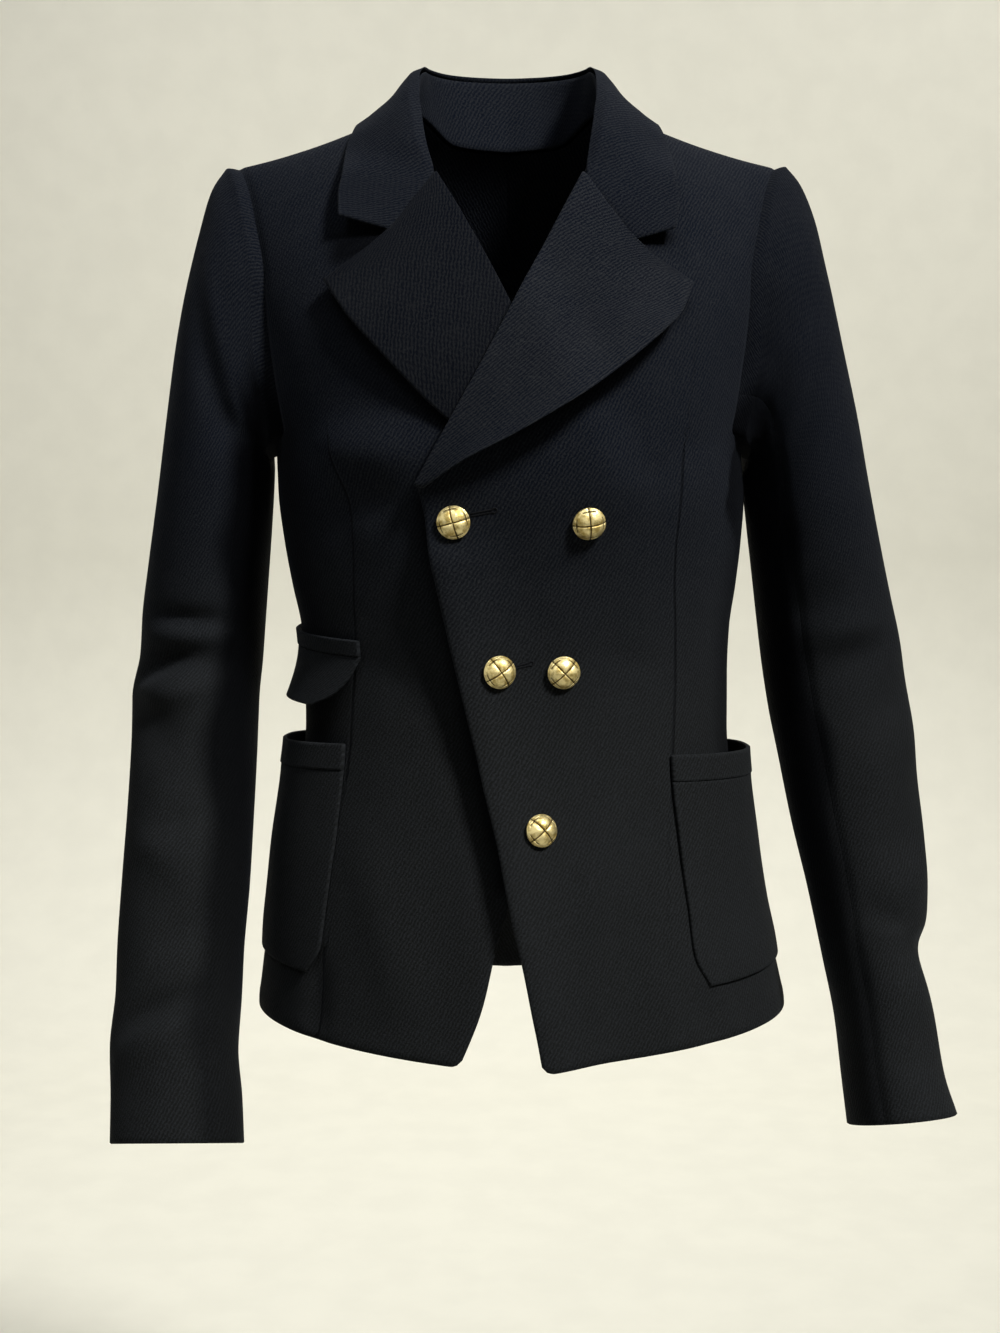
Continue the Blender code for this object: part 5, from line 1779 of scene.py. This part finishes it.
    def build(self) -> None:
        """Makes the top sleeve and the under sleeve."""
        last = len(self.data["lean"]) - 1
        stations = np.linspace(-1.0, last, (last + 1) * SLEEVE_FINE_PER_ROW + 1)
        gap = math.degrees(SEAM / 2 / self.mean_radius)
        for word, first, end, count, cut in (
            ("top", self.back_seam - 360, self.front_seam, TOP_SLEEVE_FINE_AROUND, self.top_cut),
            ("under", self.front_seam, self.back_seam, UNDER_SLEEVE_FINE_AROUND, self.under_cut),
        ):
            first, end = first + gap, end - gap
            angles = first + (end - first) * close_ends(count)
            inner, outer = self.faces(stations, angles)
            along = run_along(outer, 0).mean(axis=1, keepdims=True)
            girth = run_along(outer, 1)[:, -1] / math.radians(end - first)
            radius = np.polyval(np.polyfit(stations, girth, self.girth_degree), stations)
            around = np.radians(angles) * radius[:, None] * -self.side.value
            node = f"{word}_sleeve_{self.side.word}"
            # painted shade on the sleeve's inner side, and the least amount over its upper part
            painted_shade = self.painted_shade(stations, angles)
            sheet = ClothSheet(node, inner, outer, pairs(around, -along), None, painted_shade)
            sheet.build(self.look, cut)


@dataclass
class LaidPocket(Part):
    """What the pockets share: parts that lie on a front, and on past the side seam."""

    side: Side

    def lay(self, node: str, spots: Array, off: Array, wall: float, start: bool) -> ClothSheet:
        """Lays one part on the form.

        Args:
            node: the CAD node.
            spots: turns and climbs of its grid.
            off: distance of its inner face off the form.
            wall: its thickness.
            start: whether its weave starts at its place on the body, to match the front's.

        Returns:
            The part, not built yet.
        """
        inner, outer = (self.form.at(spots, off + k) for k in (0.0, wall))
        across = run_along(outer, 1) * self.side.value
        across = across + outer[:, :1, 0] if start else across
        return ClothSheet(node, inner, outer, pairs(across, outer[..., 2]))


@dataclass
class PatchPocket(LaidPocket):
    """A patch pocket standing open at its mouth, with a band along the mouth."""

    patch_cut: FlatCut
    band_cut: FlatCut
    fullness: float = 0.0115  # how far it stands off where it is fullest
    right_rise: float = 0.006  # how much higher the wearer's right pocket sits
    seat: float = WALL + 0.0009

    def build(self) -> None:
        """Makes the patch and the band."""
        rise = 0.0 if self.side is LEFT else self.right_rise
        s = close_ends(POCKET_FINE_ACROSS)
        swell = smooth(POCKET_SHAPE["across"], POCKET_SHAPE["swell"], s)[None, :]
        for word, data, wall, cut in (
            ("pocket", POCKET, WALL, self.patch_cut),
            ("pocket_band", BAND, BAND_WALL, self.band_cut),
        ):
            front = data["front_x"] * self.side.value
            front = self.form.place(front, data["front_z"] + rise, self.side)
            climbs = data["back_z"] + rise - SLOPE_START
            back = pairs(np.radians(data["back_turn"]) * self.side.value, climbs)
            last = len(climbs) - 1
            t = np.linspace(0.0, last, max(last * FINE_PER_ROW, BAND_FINE) + 1)
            ends = curve(front, t)[:, None], curve(back, t)[:, None]
            spots = ends[0] * (1 - s)[:, None] + ends[1] * s[:, None]
            off = self.seat + self.fullness * curve(data["full"], t)[:, None] * swell
            self.lay(f"{word}_{self.side.word}", spots, off, wall, True).build(self.look, cut)


@dataclass
class TicketPocket(LaidPocket):
    """The small pocket above the wearer's right pocket: a welt, and a flap that kicks out."""

    welt_cut: FlatCut
    flap_cut: FlatCut
    front_turn: float = 41.0  # degrees round from centre front
    back_turn: float = 98.0
    seat: float = WALL + 0.0013

    def build(self) -> None:
        """Makes the welt and the flap."""
        first, last = math.radians(self.front_turn), math.radians(self.back_turn)
        s = close_ends(TICKET_FINE_ACROSS)
        front, back = (np.linspace(*WELT[key], WELT_FINE)[:, None] for key in ("front_z", "back_z"))
        spots = pairs(-(first + (last - first) * s), front * (1 - s) + back * s - SLOPE_START)
        self.lay("ticket_welt", spots, self.seat, BAND_WALL, False).build(self.look, self.welt_cut)
        t = fine_rows(len(FLAP["kick"]) - 1)
        share, front, back, kick = (curve(FLAP[key], t)[:, None] for key in FLAP)
        starts = first + (last - first) * share
        spots = pairs(-(starts + (last - starts) * s), front * (1 - s) + back * s - SLOPE_START)
        self.lay("ticket_flap", spots, self.seat + kick, WALL, False).build(self.look, self.flap_cut)


@dataclass
class KnotButton(Part):
    """A domed button of crossed strands.

    Its widths across are shares of its radius. The eyes are the curved grooves round the
    strands, and the sides give the width, height and darkness of each ring below the dome;
    that darkness of the sides is painted shade, deepest at the foot.
    """

    node: str
    x: float
    z: float
    spin: float
    radius: float = 0.0104
    seat: float = 0.0006
    dome_foot: float = 0.0020
    dome_rise: float = 0.0052
    dome_power: float = 2.6
    strand_bend: float = 0.10
    pillow_rise: float = 0.0007
    pillow_reach: float = 0.30
    pillow_power: float = 0.6
    cross_depth: float = 0.0010
    cross_half: float = 0.040
    eye_out: float = 0.80
    eye_bow: float = 0.0022  # for each degree from a strand's middle
    eye_half: float = 0.026
    eye_depth: float = 0.0008
    eye_end: float = 34.0  # degrees
    eye_fade: float = 10.0
    rim_place: float = 0.95
    rim_half: float = 0.030
    rim_share: float = 0.35
    rim_depth: float = 0.0004
    # width, height and painted shade of each ring below the dome
    sides: tuple = ((1.0, 0.0012, 0.3), (0.97, 0.0006, 0.6), (0.80, 0.0, 1.0))
    sectors: int = 120
    rings: int = 34

    def relief(self, u: Array, v: Array) -> tuple:
        """Shape of the top.

        Args:
            u: places to the right of the middle, as shares of the radius.
            v: places above it, the same way.

        Returns:
            The height and the darkness at each place.
        """
        r = np.hypot(u, v)
        dome = self.dome_foot + self.dome_rise * (1 - np.minimum(r, 1.0) ** self.dome_power)
        bend = self.strand_bend * u * v
        near = np.minimum(np.abs(u + bend), np.abs(v - bend))
        pillow = self.pillow_rise * np.minimum(near / self.pillow_reach, 1.0) ** self.pillow_power
        angle = np.degrees(np.arctan2(v, u)) % 90
        aside = np.minimum(angle, 90 - angle)
        cross = hill(near, self.cross_half)
        eye = hill(r - (self.eye_out + self.eye_bow * aside), self.eye_half)
        eye = eye * ease((self.eye_end - aside) / self.eye_fade)
        rim = hill(r - self.rim_place, self.rim_half) * self.rim_share
        grooves = self.cross_depth * cross, self.eye_depth * eye, self.rim_depth * rim
        height = dome + pillow - grooves[0] - grooves[1] - grooves[2]
        return height, np.clip(cross + eye + rim, 0.0, 1.0)

    def axes(self) -> tuple:
        """The button's seat on the front, and the ways to its right, up and out."""
        half, surface = self.radius / 2, self.form.front_surface
        beside = surface(self.x + half, self.z) - surface(self.x - half, self.z)
        above = surface(self.x, self.z + half) - surface(self.x, self.z - half)
        normal, up = unit(np.cross(beside, above)), unit(above)
        seat = surface(self.x, self.z) + normal * self.seat
        return seat, np.cross(up, normal), up, normal

    def build(self) -> None:
        """Makes the button."""
        seat, right, up, normal = self.axes()
        wave = np.linspace(0, 2 * math.pi, self.sectors, endpoint=False)
        share = np.sin(np.linspace(0.0, math.pi / 2, self.rings + 1))[1:, None]
        u, v = share * np.cos(wave), share * np.sin(wave)
        height, dark = self.relief(u, v)
        local = [np.stack([u * self.radius, v * self.radius, height], axis=-1).reshape(-1, 3)]
        values = [dark.ravel()]
        for wide, tall, shade in self.sides:
            out = wide * self.radius
            ring = [np.cos(wave) * out, np.sin(wave) * out, np.full_like(wave, tall)]
            local.append(np.stack(ring, axis=-1))
            values.append(np.full(self.sectors, shade))
        top = self.relief(np.zeros(1), np.zeros(1))[0][0]
        local = np.concatenate([*local, [[0, 0, top], [0, 0, 0.0]]])
        tilt = math.radians(self.spin)
        a = local[:, 0] * math.cos(tilt) - local[:, 1] * math.sin(tilt)
        b = local[:, 0] * math.sin(tilt) + local[:, 1] * math.cos(tilt)
        points = seat + a[:, None] * right + b[:, None] * up + local[:, 2:3] * normal
        faces, first, last = ring_faces(self.rings + len(self.sides), self.sectors)
        faces += [[len(local) - 2, p, q] for p, q in first]
        faces += [[len(local) - 1, q, p] for p, q in last]
        made = make_mesh(f"brass_{self.node}", points, faces, self.look)
        add_values(made, "hollow_and_shade", np.concatenate([*values, [1.0, 1.0]]))
        hand_over(made, self.node)


@dataclass
class Buttonhole(Part):
    """A keyhole buttonhole: thread worked round a slit, with an eye at its end."""

    name: str
    start: tuple
    end: tuple
    gap: float = 0.0008
    eye: float = 0.0014
    thread: float = 0.00052
    sides: int = 8
    proud: float = 0.35  # share of its own radius that the thread stands off
    eye_turn: float = 140.0  # degrees either way that the thread runs round the eye
    eye_past: float = 0.9  # share of its own radius that the eye's middle lies past the slit

    def outline(self) -> Array:
        """Places round the buttonhole, seen from the front."""
        a, b = np.array(self.start), np.array(self.end)
        way = unit(b - a)
        aside = np.array([-way[1], way[0]])
        slit = [a + (b - a) * k for k in np.linspace(0.0, 1.0, SLIT_FINE)]
        turns = np.radians(np.linspace(self.eye_turn, -self.eye_turn, EYE_FINE))
        middle = b + way * self.eye * self.eye_past
        eye = [middle + (way * math.cos(k) + aside * math.sin(k)) * self.eye for k in turns]
        above, below = ([p + aside * k for p in slit] for k in (self.gap, -self.gap))
        return np.array(above + eye + below[::-1])

    def build(self) -> None:
        """Makes the thread."""
        line = np.array([self.form.front_surface(x, z) for x, z in self.outline()])
        line[:, 1] -= self.thread * self.proud
        out = np.array([0.0, -1.0, 0.0])
        beside = unit(np.cross(unit(np.gradient(line, axis=0)), out))[:, None]
        wave = np.linspace(0, 2 * math.pi, self.sides, endpoint=False)[:, None]
        rings = line[:, None] + self.thread * (np.cos(wave) * beside + np.sin(wave) * out)
        faces, first, last = ring_faces(len(line), self.sides)
        faces += [[p for p, _ in first][::-1], [p for p, _ in last]]
        made = make_mesh(self.name, rings.reshape(-1, 3), faces, self.look)
        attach(made, "root")


@dataclass(frozen=True)
class Lamp:
    """A square area light that the camera doesn't see."""

    name: str
    place: tuple
    aim: tuple
    size: float
    power: float
    colour: tuple
    beam: float  # degrees

    def build(self) -> None:
        """Adds the lamp, facing its aim."""
        lamp = bpy.data.lights.new(self.name, "AREA")
        lamp.size, lamp.energy, lamp.color = self.size, self.power, self.colour
        lamp.spread = math.radians(self.beam)
        made = add_object(self.name, lamp)
        made.visible_camera = False
        made.location = self.place
        way = np.array(self.place) - np.array(self.aim)
        tilt = math.atan2(math.hypot(way[0], way[1]), way[2])
        made.rotation_euler = (tilt, 0.0, math.atan2(way[0], -way[1]))


WARM, COOL = (1.0, 0.99, 0.95), (0.93, 0.96, 1.0)
BODY_MIDDLE = (0.0, 0.0, -0.35)
LAMPS = (
    Lamp("key", (2.80, -3.10, 3.95), BODY_MIDDLE, 1.0, 30.0, WARM, 50.0),
    Lamp("side", (-2.15, -2.55, 4.65), BODY_MIDDLE, 1.2, 3.8, COOL, 50.0),
    Lamp("wall_left", (-0.9, 1.1, 1.9), (-0.9, 2.8, -0.3), 1.6, 17.5, WARM, 120.0),
    Lamp("wall_right", (1.5, 1.1, 1.9), (1.5, 2.8, -0.3), 1.6, 25.0, WARM, 120.0),
    Lamp("floor", (0.1, 1.7, 2.2), (-0.1, 1.5, -1.3), 1.6, 9.0, WARM, 110.0),
)


@dataclass
class Studio:
    """Pale wall and floor in one sweep, soft lights, and the camera."""

    floor_z: float = -1.3
    front_y: float = -4.0
    wall_y: float = 2.8
    wall_height: float = 4.0
    sweep: float = 0.9
    half_width: float = 5.0
    sky: tuple = (0.86, 0.85, 0.77, 1.0)
    sky_power: float = 0.9
    lens: float = 50.0
    sensor: float = 36.0
    eye: tuple = (-0.005, -1.27, -0.2436)
    look_down: float = 5.6  # degrees

    def build_backdrop(self) -> None:
        """Makes the wall and floor."""
        bend = np.linspace(0.0, math.pi / 2, SWEEP_FINE)
        swept = self.wall_y - self.sweep + self.sweep * np.sin(bend)
        y = np.concatenate([[self.front_y], swept, [self.wall_y]])
        z = np.concatenate([[0.0], self.sweep * (1 - np.cos(bend)), [self.wall_height]])
        sides = (-self.half_width, self.half_width)
        points = [[x, *yz] for yz in zip(y, z + self.floor_z) for x in sides]
        faces = [[2 * k - 2, 2 * k - 1, 2 * k + 1, 2 * k] for k in range(1, len(y))]
        mesh = bpy.data.meshes.new("backdrop")
        mesh.from_pydata(points, [], faces)
        mesh.polygons.foreach_set("use_smooth", np.ones(len(mesh.polygons), bool))
        mesh.materials.append(Plaster().material())
        made = add_object("backdrop", mesh)

    def build_sky(self) -> None:
        """Makes the world, which lights only what shines."""
        world = bpy.data.worlds.new("studio")
        bpy.context.scene.world = world
        world.use_nodes = True
        sky = world.node_tree.nodes["Background"]
        sky.inputs[0].default_value = self.sky
        sky.inputs[1].default_value = self.sky_power
        world.cycles_visibility.diffuse = False

    def build_camera(self) -> None:
        """Makes the camera at the photograph's angle."""
        lens = bpy.data.cameras.new("camera")
        lens.lens, lens.sensor_width = self.lens, self.sensor
        made = add_object("camera", lens)
        made.location = self.eye
        made.rotation_euler = (math.radians(90 - self.look_down), 0.0, 0.0)
        bpy.context.scene.camera = made

    def build(self) -> None:
        """Makes the whole studio."""
        self.build_backdrop()
        self.build_sky()
        for lamp in LAMPS:
            lamp.build()
        self.build_camera()
        bpy.context.scene.view_settings.view_transform = "Standard"
        log.info("studio: %d lamps", len(LAMPS))


def main() -> None:
    """Builds every piece and the studio."""
    logging.basicConfig(level=logging.INFO, format="%(name)s: %(message)s")
    form = DressForm(FORM, RIDGE, LAP)
    effects = twill_group(), groove_group(), wear_and_highlight_group()
    wool = WoolTwill("wool_twill", *effects).material()
    # the lapels get a lit copy of the wool: its paler yarn is partly painted light
    pressed = WoolTwill("pressed_twill_lit", *effects, pale=PRESSED_PALE_LIT, ribs=0.45, relief=0.20).material()
    brass, thread = AgedBrass().material(), Thread().material()
    fronts = {side: BodyPanel(form, wool, side, False, FRONT_CUT) for side in Side}
    backs = {side: BodyPanel(form, wool, side, True, BACK_CUT) for side in Side}
    under = {side: (fronts[side].node, backs[side].node) for side in Side}
    for side in Side:
        fronts[side].build()
        backs[side].build()
    for side in Side:
        Lapel(form, pressed, side, LAPEL_CUT.resting(fronts[side].node)).build()
    fall = FALL_CUT.resting("back_left", "back_right", "front_left", "front_right")
    stand = STAND_CUT.resting("back_left")
    collar = Collar(form, wool, fronts[LEFT], backs[LEFT], fall, stand)
    collar.build_fall()
    collar.build_stand()
    for side in Side:
        cuts = TOP_SLEEVE_CUT.resting(*under[side]), UNDER_SLEEVE_CUT.resting(*under[side])
        Sleeve(form, wool, fronts[side], backs[side], *cuts).build()
    for side in Side:
        cuts = PATCH_CUT.resting(*under[side]), BAND_CUT.resting(*under[side])
        PatchPocket(form, wool, side, *cuts).build()
    cuts = WELT_CUT.resting(*under[RIGHT]), FLAP_CUT.resting(*under[RIGHT])
    TicketPocket(form, wool, RIGHT, *cuts).build()
    for k, spot in enumerate(rows_of(BUTTONS), start=1):
        KnotButton(form, brass, f"button_{k}", *spot).build()
    for number, ends in BUTTONHOLES.items():
        Buttonhole(form, thread, f"buttonhole_{number}", *ends).build()
    Studio().build()


if __name__ == "__main__":
    main()
